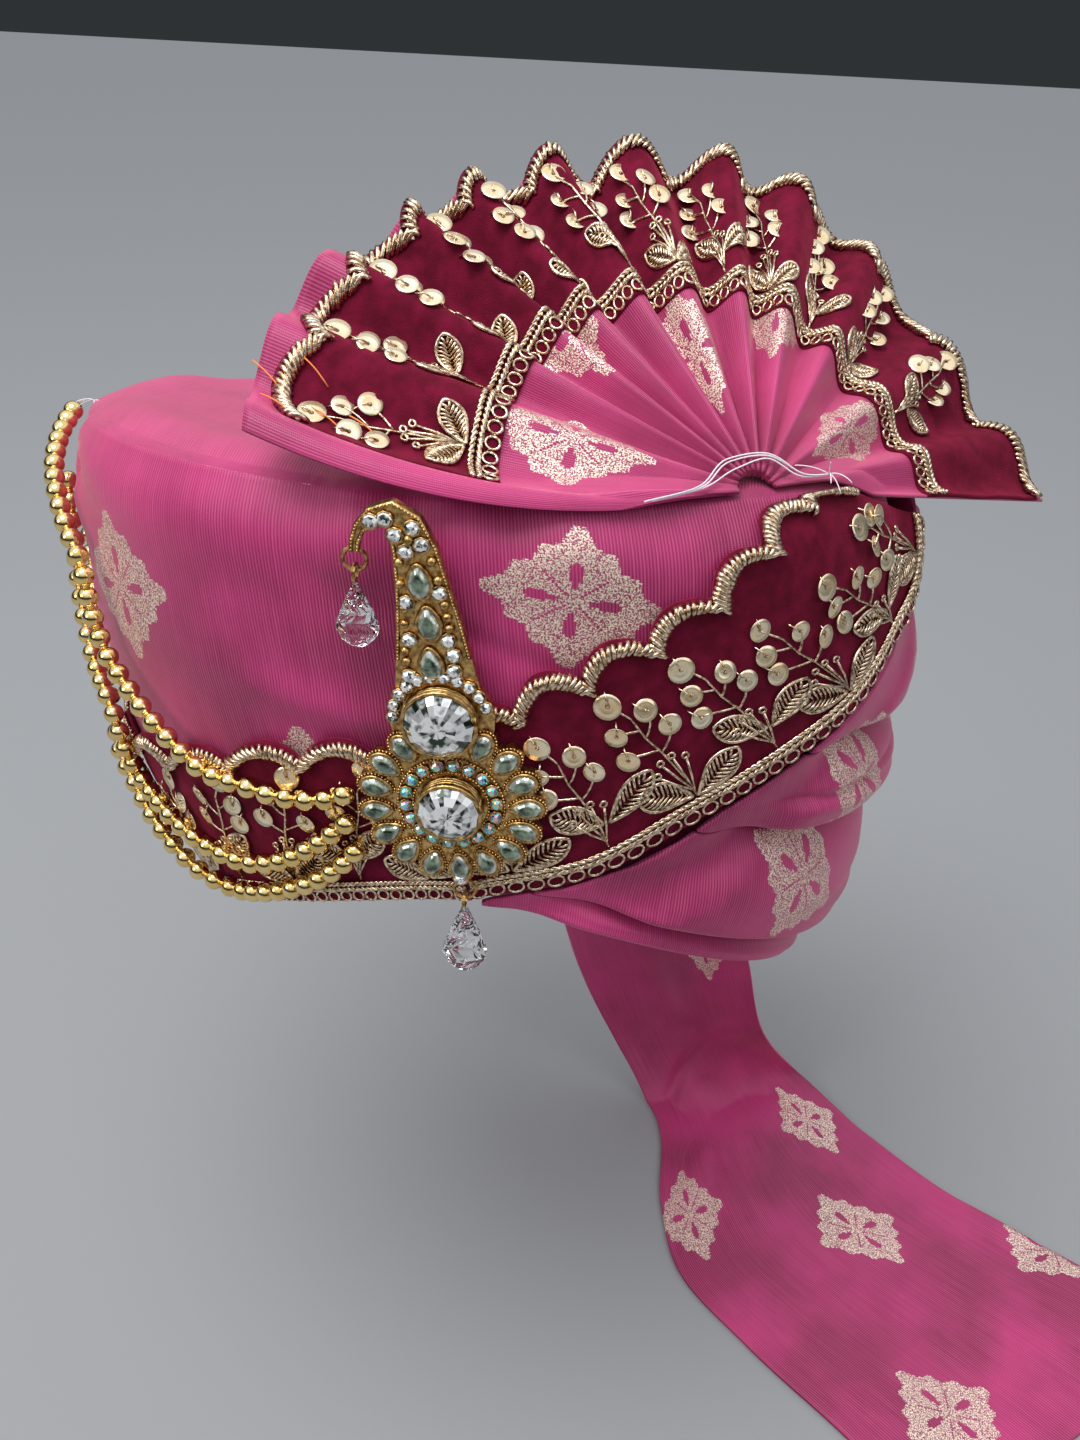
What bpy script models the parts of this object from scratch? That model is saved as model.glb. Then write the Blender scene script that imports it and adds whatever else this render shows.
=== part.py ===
# Tied turban: a padded brocade body with wound side folds, a scalloped velvet trim, a pleated fan,
# a hanging tail, a jewelled plume brooch with two crystal drops, and three strings of beads.
# Metres, +Z up. The wearer faces -Y and +X is the wearer's left. The origin is the centre of the
# head opening. The body is drawn upright in its own frame and leans back about the origin.

import bpy
import bmesh
import numpy as np
from math import cos, pi, radians, sin

# Turban body
lean_back = radians(16.0)
head_half_width = 0.081
head_half_depth = 0.098
head_dome_height = 0.098
rim_half_width = 0.098
rim_front_depth = 0.106
rim_back_depth = 0.112
body_height = 0.120
flare_side = 0.034
flare_front = 0.028
flare_back = 0.016
side_lean = 0.012
plan_power = 2.3
rim_drop_left = 0.034
rim_drop_right = 0.028
rim_drop_back = 0.022
ridge_side_rise = 0.008
ridge_roll = 0.004
crown_sides = 36

# Wound folds at the side and back
fold_seat = 0.009
fold_seat_rim = 0.003
fold_bulge = 0.0095
fold_wall = 0.0012
fold_clearance = 0.0010
fold_gap = 0.0007
fold_end_azimuth = radians(256.0)
fold_spans = 20

# Velvet trim
velvet_wall = 0.0016
velvet_clearance = 0.0009
scallop_depth = 0.0065
left_scallops = 8
right_scallops = 6
scallop_spans = 4

# Fan
fan_radius = 0.1295
fan_neck_radius = 0.006
fan_wall = 0.0020
fan_foot_azimuth = radians(37.7)
fan_foot_rise = 0.0019
fan_heading = radians(28.5)
fan_slope = radians(27.0)
fan_start = radians(-73.5)
fan_end = radians(75.5)
fan_hem_sag = 0.0146
fan_droop = 0.048
fan_rest_gap = 0.0024
ridge_turn = 0.010
pleat_count = 12
pleat_depth = 0.0065
fan_trim_width = 0.058
fan_trim_inset = 0.004
fan_trim_wall = 0.0010
fan_trim_clearance = 0.0006

# Tail
floor_drop = 0.2480
tail_wall = 0.0018
tail_seat_gap = 0.0011
tail_floor_gap = 0.0001
tail_ripple = 0.0022
tail_rows = 20
tail_columns = 5

# Brooch
brooch_stand_off = 0.0067
brooch_tilt = radians(14.5)
brooch_roll = radians(7.3)
plate_thickness = 0.0025
petal_count = 15
petal_ring_radius = 0.0208
petal_length = 0.0088
petal_width = 0.0060
petal_thickness = 0.0020
petal_margin = 0.0008
petal_first = radians(120.0)
petal_sweep = radians(300.0)
flower_stone_radius = 0.0090
upper_stone_radius = 0.0100
upper_plate_radius = 0.0142
stone_thickness = 0.0036
stone_foot = 0.76
flower_stone_lift = 0.0040
upper_stone_lift = 0.0030
plume_height = 0.055
plume_stone_length = 0.0095
plume_stone_width = 0.0064
plume_stone_thickness = 0.0020
stone_clearance = 0.0003
link_radius = 0.0031
link_wire = 0.0006
link_bite = 0.00054
link_turn = 0.2
neck_rise = 0.0085
neck_low_half = 0.0014
neck_high_half = 0.0022
plate_step = 0.0001

# Crystal drops
lower_crystal_length = 0.0235
lower_crystal_width = 0.0134
upper_crystal_length = 0.0180
upper_crystal_width = 0.0115
crystal_flatness = 0.62
loop_radius = 0.0023
loop_wire = 0.0005
loop_clearance = 0.00045

# Bead strings
bead_diameter = 0.0060
bead_pitch = 0.0057
bead_sides = 10
tube_step = 1.2

# Body profile, as shares: height, side flare, front flare, back flare, side lean
BODY_PROFILE = [
    (0.00, 0.00, 0.00, 0.00, 0.00),
    (0.25, 0.62, 0.39, 0.50, 0.17),
    (0.50, 0.94, 0.71, 0.80, 0.42),
    (0.75, 1.03, 0.93, 1.00, 0.75),
    (0.93, 1.01, 1.00, 1.00, 0.93),
    (1.00, 0.88, 0.86, 0.60, 1.00),
]
CROWN_ROWS = (0.0, 0.06, 0.2, 0.35, 0.5, 0.65, 0.8, 0.93, 1.0)
# Top of the crown: share of the way out from its centre, rise as a share of ridge_roll
TOP_ROWS = [(0.93, 1.0), (0.74, 0.9), (0.40, 0.0)]
HOLLOW_ROWS = (0.0, 22.0, 42.0, 60.0, 76.0)

# Lower edge of the right velvet arm, which the folds run under: azimuth in degrees, height share
ARM_LOWER_EDGE = [
    (0.0, 0.02), (14.0, 0.115), (24.0, 0.24), (31.0, 0.365), (40.0, 0.475),
    (50.0, 0.57), (60.0, 0.665), (66.5, 0.775), (69.0, 0.88), (70.0, 1.0),
]
# Folds from the rim up: name, height share of the lower edge at the side and at the back, sway, bulge
FOLDS = [
    ("rim_fold", 0.004, 0.004, 0.000, 0.45),
    ("low_wrap", 0.070, 0.065, 0.006, 1.00),
    ("middle_wrap", 0.340, 0.320, 0.034, 0.92),
    ("high_wrap", 0.515, 0.550, 0.016, 1.00),
    ("top_wrap", 0.800, 0.780, 0.010, 0.85),
    ("ridge", 0.990, 0.990, 0.000, 0.00),
]
# Section of a fold from its lower edge: share of its height, share of its bulge
FOLD_SECTION = [(0.0, 0.55), (0.14, 0.95), (0.42, 1.0), (0.75, 0.62), (1.0, 0.15)]

# Velvet arms: share of the run, azimuth in degrees and height share of both edges
LEFT_ARM = [
    (0.00, -0.4, 0.020, -0.4, 0.400),
    (0.25, -23.0, 0.015, -20.0, 0.375),
    (0.50, -48.0, 0.015, -44.0, 0.330),
    (0.75, -72.0, 0.020, -69.0, 0.350),
    (1.00, -96.0, 0.030, -94.0, 0.380),
]
RIGHT_ARM = [
    (0.00, 0.4, 0.020, 0.4, 0.430),
    (0.20, 17.0, 0.150, 9.5, 0.560),
    (0.40, 30.0, 0.345, 19.0, 0.665),
    (0.60, 42.0, 0.490, 28.0, 0.775),
    (0.80, 56.0, 0.625, 36.0, 0.880),
    (1.00, 66.0, 0.760, 43.5, 0.925),
]

# Plume centre line above the flower, as shares of plume_height: across, up, half width
PLUME = [
    (0.045, -0.05, 0.225),
    (0.049, 0.255, 0.178),
    (0.051, 0.436, 0.153),
    (0.046, 0.618, 0.125),
    (0.038, 0.800, 0.104),
    (0.009, 0.925, 0.083),
    (-0.050, 0.985, 0.062),
    (-0.127, 0.975, 0.045),
    (-0.195, 0.925, 0.030),
    (-0.227, 0.864, 0.024),
    (-0.238, 0.812, 0.023),
]
plume_foot = 0.036
flower_centre = (0.0016, 0.0055)
upper_centre = (0.0024, 0.0324)
upper_link = (PLUME[-1][0] * plume_height - link_wire,
              plume_foot + PLUME[-1][1] * plume_height - link_radius + link_bite)
lower_link = (0.0014, -0.0245)
# Stones along the plume above its foot, as shares of plume_height: name, across, up
PLUME_STONES = [
    ("plume_stone_low", 0.0364, 0.2327),
    ("plume_stone_mid", 0.0545, 0.4455),
    ("plume_stone_top", 0.0382, 0.6545),
]

# Cuts of a stone from its back: share of the outline, share of the thickness
FLAT_CUT = [(1.0, 0.0), (0.60, 1.0)]
DEEP_CUT = [(1.0, 0.0), (1.0, 0.30), (0.60, 1.0)]
# A hanging crystal from its top: share of its length, share of its girth
CRYSTAL_CUT = [(0.0, 0.16), (0.22, 0.46), (0.52, 0.86), (0.72, 1.0), (0.90, 0.70), (1.0, 0.24)]
# One bead of a string: share of its length, share of its radius, from the neck on
BEAD_SECTION = [(0.0, 0.40), (0.26, 0.95), (0.74, 0.95)]

# Middle lines of the bead strings from the brooch round the side, in metres
UPPER_STRING = [
    (-0.0318, -0.1093, 0.0703), (-0.0378, -0.1085, 0.0665), (-0.0434, -0.1077, 0.0647),
    (-0.0548, -0.1050, 0.0627), (-0.0665, -0.1014, 0.0627), (-0.0787, -0.0961, 0.0623),
    (-0.0886, -0.0912, 0.0671), (-0.0974, -0.0857, 0.0722), (-0.1057, -0.0794, 0.0779),
    (-0.1139, -0.0722, 0.0850), (-0.1177, -0.0687, 0.0954), (-0.1200, -0.0653, 0.1072),
    (-0.1291, -0.0531, 0.1164), (-0.1383, -0.0351, 0.1238), (-0.1431, -0.0161, 0.1278),
    (-0.1447, 0.0000, 0.1294),
]
MIDDLE_STRING = [
    (-0.0322, -0.1089, 0.0607), (-0.0370, -0.1083, 0.0555), (-0.0459, -0.1059, 0.0460),
    (-0.0568, -0.1019, 0.0366), (-0.0692, -0.0961, 0.0300), (-0.0791, -0.0907, 0.0282),
    (-0.0902, -0.0836, 0.0282), (-0.1026, -0.0739, 0.0306), (-0.1134, -0.0625, 0.0331),
    (-0.1170, -0.0626, 0.0440), (-0.1188, -0.0623, 0.0552), (-0.1317, -0.0435, 0.0644),
    (-0.1397, -0.0285, 0.0796), (-0.1443, -0.0160, 0.0960), (-0.1471, -0.0086, 0.1110),
]
LOWER_STRING = [
    (-0.0306, -0.1086, 0.0509), (-0.0351, -0.1076, 0.0441), (-0.0442, -0.1049, 0.0340),
    (-0.0544, -0.1009, 0.0256), (-0.0669, -0.0947, 0.0175), (-0.0782, -0.0871, 0.0118),
    (-0.0894, -0.0823, 0.0130), (-0.0990, -0.0760, 0.0164), (-0.1086, -0.0683, 0.0217),
    (-0.1161, -0.0604, 0.0272), (-0.1238, -0.0515, 0.0341), (-0.1289, -0.0410, 0.0430),
    (-0.1368, -0.0271, 0.0549), (-0.1430, -0.0118, 0.0688), (-0.1467, 0.0000, 0.0861),
    (-0.1496, 0.0097, 0.1039),
]

# Tail edges below the rim, in metres: x, y, z of the edge by the neck, then of the outer edge.
# A height of None means lying on the floor.
TAIL_RIM_AZIMUTHS = (radians(176.0), radians(124.0))
TAIL_ROUTE = [
    ((0.002, 0.101, -0.110), (0.088, 0.080, -0.100)),
    ((0.014, 0.102, -0.165), (0.098, 0.084, -0.155)),
    ((0.040, 0.094, -0.222), (0.112, 0.092, -0.207)),
    ((0.064, 0.068, None), (0.134, 0.102, -0.240)),
    ((0.069, 0.020, None), (0.165, 0.075, None)),
    ((0.078, -0.014, None), (0.198, 0.047, None)),
    ((0.108, -0.047, None), (0.232, 0.026, None)),
    ((0.148, -0.082, None), (0.268, 0.006, None)),
    ((0.184, -0.116, None), (0.304, -0.016, None)),
]


# Remove whatever the open file holds
def clear_scene():
    for thing in list(bpy.data.objects):
        bpy.data.objects.remove(thing, do_unlink=True)


def principled(name, colour, roughness, metallic=0.0, transmission=0.0):
    mat = bpy.data.materials.new(name)
    mat.use_nodes = True
    shader = mat.node_tree.nodes["Principled BSDF"]
    shader.inputs["Base Color"].default_value = (*colour, 1.0)
    shader.inputs["Roughness"].default_value = roughness
    shader.inputs["Metallic"].default_value = metallic
    shader.inputs["Transmission Weight"].default_value = transmission
    mat.diffuse_color = (*colour, 1.0)
    return mat


# One object from points and faces, with its faces turned outwards
def solid(name, points, faces, mat, smooth_angle=40.0):
    mesh = bpy.data.meshes.new(name)
    mesh.from_pydata([tuple(p) for p in points], [], faces)
    work = bmesh.new()
    work.from_mesh(mesh)
    bmesh.ops.recalc_face_normals(work, faces=work.faces)
    bmesh.ops.triangulate(work, faces=work.faces)
    work.to_mesh(mesh)
    work.free()
    mesh.shade_smooth()
    mesh.set_sharp_from_angle(angle=radians(smooth_angle))
    mesh.materials.append(mat)
    item = bpy.data.objects.new(name, mesh)
    bpy.context.collection.objects.link(item)
    return item


# Closed rings joined in order and capped at both ends
def lofted(name, rings, mat, smooth_angle=40.0):
    rings = np.asarray(rings)
    count, sides = rings.shape[:2]
    faces = []
    for i in range(count - 1):
        for j in range(sides):
            k = (j + 1) % sides
            faces.append((i * sides + j, i * sides + k, (i + 1) * sides + k, (i + 1) * sides + j))
    faces.append(tuple(range(sides)))
    faces.append(tuple(range((count - 1) * sides, count * sides)))
    return solid(name, rings.reshape(-1, 3), faces, mat, smooth_angle)


# A wall between two grids of points of the same size
def walled(name, front, back, mat, smooth_angle=40.0):
    rows, columns = front.shape[:2]
    offset = rows * columns
    faces = []
    for i in range(rows - 1):
        for j in range(columns - 1):
            a = i * columns + j
            b = a + columns
            faces.append((a, b, b + 1, a + 1))
            faces.append((a + offset, a + 1 + offset, b + 1 + offset, b + offset))
    border = [j for j in range(columns)]
    border += [i * columns + columns - 1 for i in range(1, rows)]
    border += [(rows - 1) * columns + j for j in range(columns - 2, -1, -1)]
    border += [i * columns for i in range(rows - 2, 0, -1)]
    for a, b in zip(border, border[1:] + border[:1]):
        faces.append((a, b, b + offset, a + offset))
    points = np.concatenate([front.reshape(-1, 3), back.reshape(-1, 3)])
    return solid(name, points, faces, mat, smooth_angle)


# Smooth curve through the columns of a table whose first column is the position
def through(table, column, at):
    rows = np.array([[float(v) for v in row] for row in table])
    x = rows[:, 0]
    y = rows[:, column]
    slope = np.gradient(y, x)
    at = np.asarray(at, dtype=float)
    inside = np.clip(at, x[0], x[-1])
    i = np.clip(np.searchsorted(x, inside) - 1, 0, len(x) - 2)
    span = x[i + 1] - x[i]
    s = (inside - x[i]) / span
    start = (2 * s**3 - 3 * s**2 + 1) * y[i] + (s**3 - 2 * s**2 + s) * span * slope[i]
    end = (3 * s**2 - 2 * s**3) * y[i + 1] + (s**3 - s**2) * span * slope[i + 1]
    return start + end


# Smooth curve through points in space, read at shares of its length
def curve_through(points, shares):
    points = np.asarray(points, dtype=float)
    steps = np.linalg.norm(np.diff(points, axis=0), axis=1)
    knots = np.concatenate([[0.0], np.cumsum(steps)])
    table = np.column_stack([knots, points])
    dense_at = np.linspace(0.0, knots[-1], 60 * len(points))
    dense = np.stack([through(table, c + 1, dense_at) for c in range(points.shape[1])], axis=-1)
    lengths = np.concatenate([[0.0], np.cumsum(np.linalg.norm(np.diff(dense, axis=0), axis=1))])
    wanted = np.asarray(shares) * lengths[-1]
    places = np.stack([np.interp(wanted, lengths, dense[:, c]) for c in range(3)], axis=-1)
    return places, lengths[-1]


def smooth_step(value):
    value = np.clip(value, 0.0, 1.0)
    return value * value * (3.0 - 2.0 * value)


# Turn points of the body's own frame back by its lean
def leaned(points):
    points = np.asarray(points, dtype=float)
    y = points[..., 1] * cos(lean_back) + points[..., 2] * sin(lean_back)
    z = points[..., 2] * cos(lean_back) - points[..., 1] * sin(lean_back)
    return np.stack([points[..., 0], y, z], axis=-1)


# How far the rounded oval of unit half axes reaches at an azimuth
def oval_reach(azimuth):
    return (np.abs(np.sin(azimuth)) ** plan_power + np.abs(np.cos(azimuth)) ** plan_power) ** (-1.0 / plan_power)


# Height of the rim round the head, low over the ears and the nape
def rim_height(azimuth):
    side = np.abs(np.sin(azimuth)) ** 1.6
    drop = np.where(np.sin(azimuth) > 0.0, rim_drop_left, rim_drop_right)
    return -drop * side - rim_drop_back * (1.0 - np.cos(azimuth)) / 2.0


def ridge_height(azimuth):
    return body_height + ridge_side_rise * np.sin(azimuth) ** 2


# Point of the body's outer surface: azimuth from the front towards the wearer's left, height share
def body_point(azimuth, share):
    azimuth, share = np.broadcast_arrays(np.asarray(azimuth, float), np.asarray(share, float))
    s = np.sin(azimuth)
    c = np.cos(azimuth)
    reach = oval_reach(azimuth)
    width = rim_half_width + flare_side * through(BODY_PROFILE, 1, share)
    front = rim_front_depth + flare_front * through(BODY_PROFILE, 2, share)
    back = rim_back_depth + flare_back * through(BODY_PROFILE, 3, share)
    x = width * s * reach - side_lean * through(BODY_PROFILE, 4, share)
    y = np.where(c > 0.0, -front, -back) * c * reach
    low = rim_height(azimuth)
    z = low + (ridge_height(azimuth) - low) * share
    return np.stack([x, y, z], axis=-1)


# Point that stands off the body's surface along its normal
def on_body(azimuth, share, lift):
    step = 0.002
    azimuth, share, lift = np.broadcast_arrays(azimuth, share, lift)
    inner = np.clip(share, 0.02, 0.92)
    round_way = body_point(azimuth + step, inner) - body_point(azimuth - step, inner)
    up_way = body_point(azimuth, inner + step) - body_point(azimuth, inner - step)
    normal = np.cross(round_way, up_way)
    normal /= np.linalg.norm(normal, axis=-1, keepdims=True)
    return body_point(azimuth, share) + normal * lift[..., None]


# Azimuth at which the folds start, along the lower edge of the right velvet arm
def fold_start(share):
    table = np.array(ARM_LOWER_EDGE)
    return np.radians(np.interp(share, table[:, 1], table[:, 0]))


# How far a place lies into the folds: 0 on the front panel, 1 among the folds
def fold_zone(azimuth, share, lead):
    round_way = np.mod(azimuth, 2 * pi)
    start = smooth_step((round_way - fold_start(share) - lead) / radians(11.0))
    end = smooth_step((fold_end_azimuth - lead - round_way) / radians(11.0))
    return start * end


def seat_depth(share):
    return fold_seat_rim + (fold_seat - fold_seat_rim) * smooth_step(np.asarray(share) / 0.3)


# Hollow body: head dome, rim, flared side, rolled ridge and a shallow top
def turban_body(mat):
    azimuth = np.arange(crown_sides) * 2 * pi / crown_sides
    rings = []
    for degrees in reversed(HOLLOW_ROWS):
        rise = radians(degrees)
        reach = oval_reach(azimuth) * cos(rise)
        x = head_half_width * np.sin(azimuth) * reach
        y = -head_half_depth * np.cos(azimuth) * reach
        z = rim_height(azimuth) * (1.0 - sin(rise)) + head_dome_height * sin(rise)
        rings.append(np.stack([x, y, z], axis=-1))
    for share in CROWN_ROWS:
        zone = fold_zone(azimuth, np.full(crown_sides, share), radians(-9.0))
        rings.append(on_body(azimuth, share, -seat_depth(share) * zone))
    ridge = rings[-1]
    middle = ridge.mean(axis=0)
    for share, rise in TOP_ROWS:
        ring = middle + (ridge - middle) * share
        ring[:, 2] += ridge_roll * rise
        rings.append(ring)
    points = np.concatenate(rings + [[(0.0, 0.0, head_dome_height)], [middle]])
    faces = []
    for i in range(len(rings) - 1):
        for j in range(crown_sides):
            k = (j + 1) % crown_sides
            low = i * crown_sides
            high = low + crown_sides
            faces.append((low + j, low + k, high + k, high + j))
    last = (len(rings) - 1) * crown_sides
    for j in range(crown_sides):
        k = (j + 1) % crown_sides
        faces.append((j, k, len(points) - 2))
        faces.append((last + j, last + k, len(points) - 1))
    return solid("turban_body", leaned(points), faces, mat)


# Height share of a fold's lower edge, swaying over the side and level round the back
def fold_edge(row, azimuth):
    name, side, back, sway, bulge = row
    back_share = smooth_step((azimuth - radians(60.0)) / radians(120.0))
    fade = 1.0 - smooth_step((azimuth - radians(86.0)) / 0.7)
    wave = -np.cos((azimuth - radians(41.0)) * 4.0) * fade
    return side + (back - side) * back_share + sway * wave


# One wound fold from under the velvet arm round the back to the front panel's far edge
def wound_fold(row, next_row, mat):
    run = np.linspace(0.0, 1.0, fold_spans + 1)
    margin = fold_gap / 2.0 / body_height
    rings = []
    for along in run:
        sections = []
        for height, bulge in FOLD_SECTION:
            azimuth = np.array(radians(50.0))
            for _ in range(4):
                low = fold_edge(row, azimuth) + margin
                high = fold_edge(next_row, azimuth) - margin
                share = low + (high - low) * height
                start = fold_start(share) + radians(2.0)
                azimuth = start + (fold_end_azimuth - radians(2.0) - start) * along
            zone = fold_zone(azimuth, share, radians(2.0))
            inner = fold_clearance - seat_depth(share) * zone
            taper = smooth_step(along / 0.12) * smooth_step((1.0 - along) / 0.10)
            outer = inner + fold_wall + fold_bulge * row[4] * bulge * taper
            sections.append((azimuth, share, inner, outer))
        ring = [on_body(a, s, outer) for a, s, inner, outer in sections]
        for a, s, inner, outer in (sections[4], sections[3], sections[2], sections[0]):
            ring.append(on_body(a, s, inner))
        rings.append(ring)
    return lofted(row[0], leaned(np.array(rings)), mat, 50.0)


# Velvet arm: straight lower edge, scalloped upper edge, laid on the body
def velvet_arm(name, table, scallops, mat):
    run = np.linspace(0.0, 1.0, scallops * scallop_spans + 1)
    low_azimuth = np.radians(through(table, 1, run))
    low_share = through(table, 2, run)
    high_azimuth = np.radians(through(table, 3, run))
    high_share = through(table, 4, run)
    crest = np.abs(np.sin(run * scallops * pi)) ** 0.7
    high = body_point(high_azimuth, high_share)
    low = body_point(low_azimuth, low_share)
    width = np.linalg.norm(high - low, axis=-1)
    reach = 1.0 + scallop_depth * crest / width
    fronts = []
    backs = []
    for across in (0.0, 0.33, 0.67, 1.0):
        azimuth = low_azimuth + (high_azimuth - low_azimuth) * across * reach
        share = low_share + (high_share - low_share) * across * reach
        backs.append(on_body(azimuth, share, velvet_clearance))
        fronts.append(on_body(azimuth, share, velvet_clearance + velvet_wall))
    front = leaned(np.stack(fronts, axis=1))
    back = leaned(np.stack(backs, axis=1))
    return walled(name, front, back, mat)


# Directions of the fan: up its middle, along its right hem, and out of its face
def fan_axes():
    level = np.array([-sin(fan_heading), cos(fan_heading), 0.0])
    middle = level * cos(fan_slope) + np.array([0.0, 0.0, sin(fan_slope)])
    across = np.array([cos(fan_heading), sin(fan_heading), 0.0])
    face = np.cross(across, middle)
    return middle, across, face


# How far a point of the fan's cloth must rise to rest on the top of the body
def fan_rest(point):
    y = point[..., 1] * cos(lean_back) - point[..., 2] * sin(lean_back)
    z = point[..., 2] * cos(lean_back) + point[..., 1] * sin(lean_back)
    side, front, back = BODY_PROFILE[-1][1:4]
    x = (point[..., 0] + side_lean) / (rim_half_width + flare_side * side)
    y = y / np.where(y < 0.0, rim_front_depth + flare_front * front, rim_back_depth + flare_back * back)
    reach = (np.abs(x) ** plan_power + np.abs(y) ** plan_power) ** (1.0 / plan_power)
    inner = np.clip((1.0 - reach) / 0.07, 0.0, 1.0)
    outer = np.clip((reach - 1.0) / 0.045, 0.0, 1.0)
    top = ridge_height(np.arctan2(x, -y)) + ridge_roll * inner - ridge_turn * outer
    rise = np.maximum(top + fan_rest_gap - z, 0.0)
    return np.where(outer < 1.0, rise, 0.0)


# Point of the pleated fan: share of its spread, distance from the foot, lift off its cloth
def fan_point(spread, radius, lift):
    spread, radius = np.broadcast_arrays(spread, radius)
    middle, across, face = fan_axes()
    foot = leaned(body_point(fan_foot_azimuth, 1.0)) + np.array([0.0, 0.0, fan_foot_rise])
    angle = fan_start + (fan_end - fan_start) * spread
    out = radius / fan_radius
    hem = np.exp(-(((spread) / 0.09) ** 2))
    drop = smooth_step((spread - 0.62) / 0.38)
    swell = 0.30 + 0.70 * np.sin(pi * spread) ** 0.6
    phase = spread * pleat_count * 2 * pi
    pleat = 2.0 / pi * np.arcsin(np.clip(np.sin(phase), -1.0, 1.0)) * pleat_depth * swell * out
    direction = np.cos(angle)[..., None] * middle + np.sin(angle)[..., None] * across
    sideways = -np.sin(angle)[..., None] * middle + np.cos(angle)[..., None] * across
    point = foot + direction * radius[..., None]
    point = point - sideways * (fan_hem_sag * hem * 4.0 * out * (1.0 - out))[..., None]
    point = point + face * pleat[..., None]
    point[..., 2] -= fan_droop * drop * out
    point[..., 2] += fan_rest(point)
    return point + face * lift


def fan_spread_steps():
    return (np.arange(pleat_count * 4 + 1)) / (pleat_count * 4)


def fan_cloth(mat):
    spread = fan_spread_steps()[:, None]
    out = np.array([0.0, 0.16, 0.32, 0.48, 0.64, 0.82, 1.0])[None, :]
    radius = fan_neck_radius + (fan_radius - fan_neck_radius) * out
    front = fan_point(spread, radius, fan_wall / 2)
    back = fan_point(spread, radius, -fan_wall / 2)
    return walled("fan_cloth", front, back, mat, 30.0)


def fan_trim(mat):
    spread = fan_spread_steps()[:, None]
    crest = np.abs(np.sin(spread * pleat_count * pi)) ** 0.7
    outer = fan_radius - fan_trim_inset - scallop_depth * (1.0 - crest)
    inner = fan_radius - fan_trim_inset - fan_trim_width
    radius = inner + (outer - inner) * np.array([0.0, 0.5, 1.0])[None, :]
    low = fan_wall / 2 + fan_trim_clearance
    front = fan_point(spread, radius, low + fan_trim_wall)
    back = fan_point(spread, radius, low)
    return walled("fan_velvet", front, back, mat, 30.0)


# Tail: hangs from under the rim at the back, then lies forward on the floor
def tail_cloth(mat):
    floor_level = -floor_drop + tail_wall / 2 + tail_floor_gap
    across = np.linspace(0.0, 1.0, tail_columns + 1)
    rim_azimuth = TAIL_RIM_AZIMUTHS[0] + (TAIL_RIM_AZIMUTHS[1] - TAIL_RIM_AZIMUTHS[0]) * across
    reach = oval_reach(rim_azimuth)
    outer = on_body(rim_azimuth, 0.0, -fold_seat_rim)
    inner_x = head_half_width * np.sin(rim_azimuth) * reach
    inner_y = -head_half_depth * np.cos(rim_azimuth) * reach
    inner = np.stack([inner_x, inner_y, rim_height(rim_azimuth)], axis=-1)
    rim_line = leaned((outer + inner) / 2) - np.array([0.0, 0.0, tail_seat_gap])
    edges = [[rim_line[0]], [rim_line[-1]]]
    for row in TAIL_ROUTE:
        for side in (0, 1):
            x, y, z = row[side]
            edges[side].append((x, y, floor_level if z is None else z))
    along = np.linspace(0.0, 1.0, tail_rows + 1)
    near = curve_through(edges[0], along)[0]
    far = curve_through(edges[1], along)[0]
    middle = near[:, None, :] + (far - near)[:, None, :] * across[None, :, None]
    # The rim curves between the tail's two corners, so the top row bows with it
    fade = (1.0 - smooth_step(along / 0.3))[:, None, None]
    middle = middle + (rim_line - middle[0])[None, :, :] * fade
    lengthwise = np.gradient(middle, axis=0)
    crosswise = np.gradient(middle, axis=1)
    normal = np.cross(crosswise, lengthwise)
    normal /= np.linalg.norm(normal, axis=-1, keepdims=True)
    ripple = tail_ripple * (1 - np.cos(2 * pi * (across[None, :] * 1.5 + along[:, None] * 3.0)))
    ripple = ripple * (smooth_step(along / 0.2))[:, None] * (1 - 0.6 * smooth_step((along - 0.5) / 0.1))[:, None]
    middle = middle + normal * ripple[..., None]
    middle[..., 2] = np.maximum(middle[..., 2], floor_level)
    half = normal * tail_wall / 2
    return walled("tail_cloth", middle + half, middle - half, mat)


# Point of the brooch's own plane: across to the viewer's right, up, lift off the plate's back
def brooch_point(across, up, lift):
    seat = on_body(radians(-1.4), 0.265, 0.0) + np.array([0.0, -brooch_stand_off, 0.0])
    up_way = np.array([0.0, -sin(brooch_tilt), cos(brooch_tilt)])
    right_way = np.array([1.0, 0.0, 0.0])
    turned_up = up_way * cos(brooch_roll) - right_way * sin(brooch_roll)
    turned_right = right_way * cos(brooch_roll) + up_way * sin(brooch_roll)
    out_way = np.array([0.0, -cos(brooch_tilt), -sin(brooch_tilt)])
    back = seat - out_way * plate_thickness
    across, up, lift = [value[..., None] for value in np.broadcast_arrays(across, up, lift)]
    point = back + across * turned_right + up * turned_up + lift * out_way
    return leaned(point)


# Flat plate of an outline in the brooch's plane
def plate(name, outline, low, high, mat):
    outline = np.array(outline)
    rings = [brooch_point(outline[:, 0], outline[:, 1], lift) for lift in (low, high)]
    return lofted(name, rings, mat, 30.0)


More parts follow.
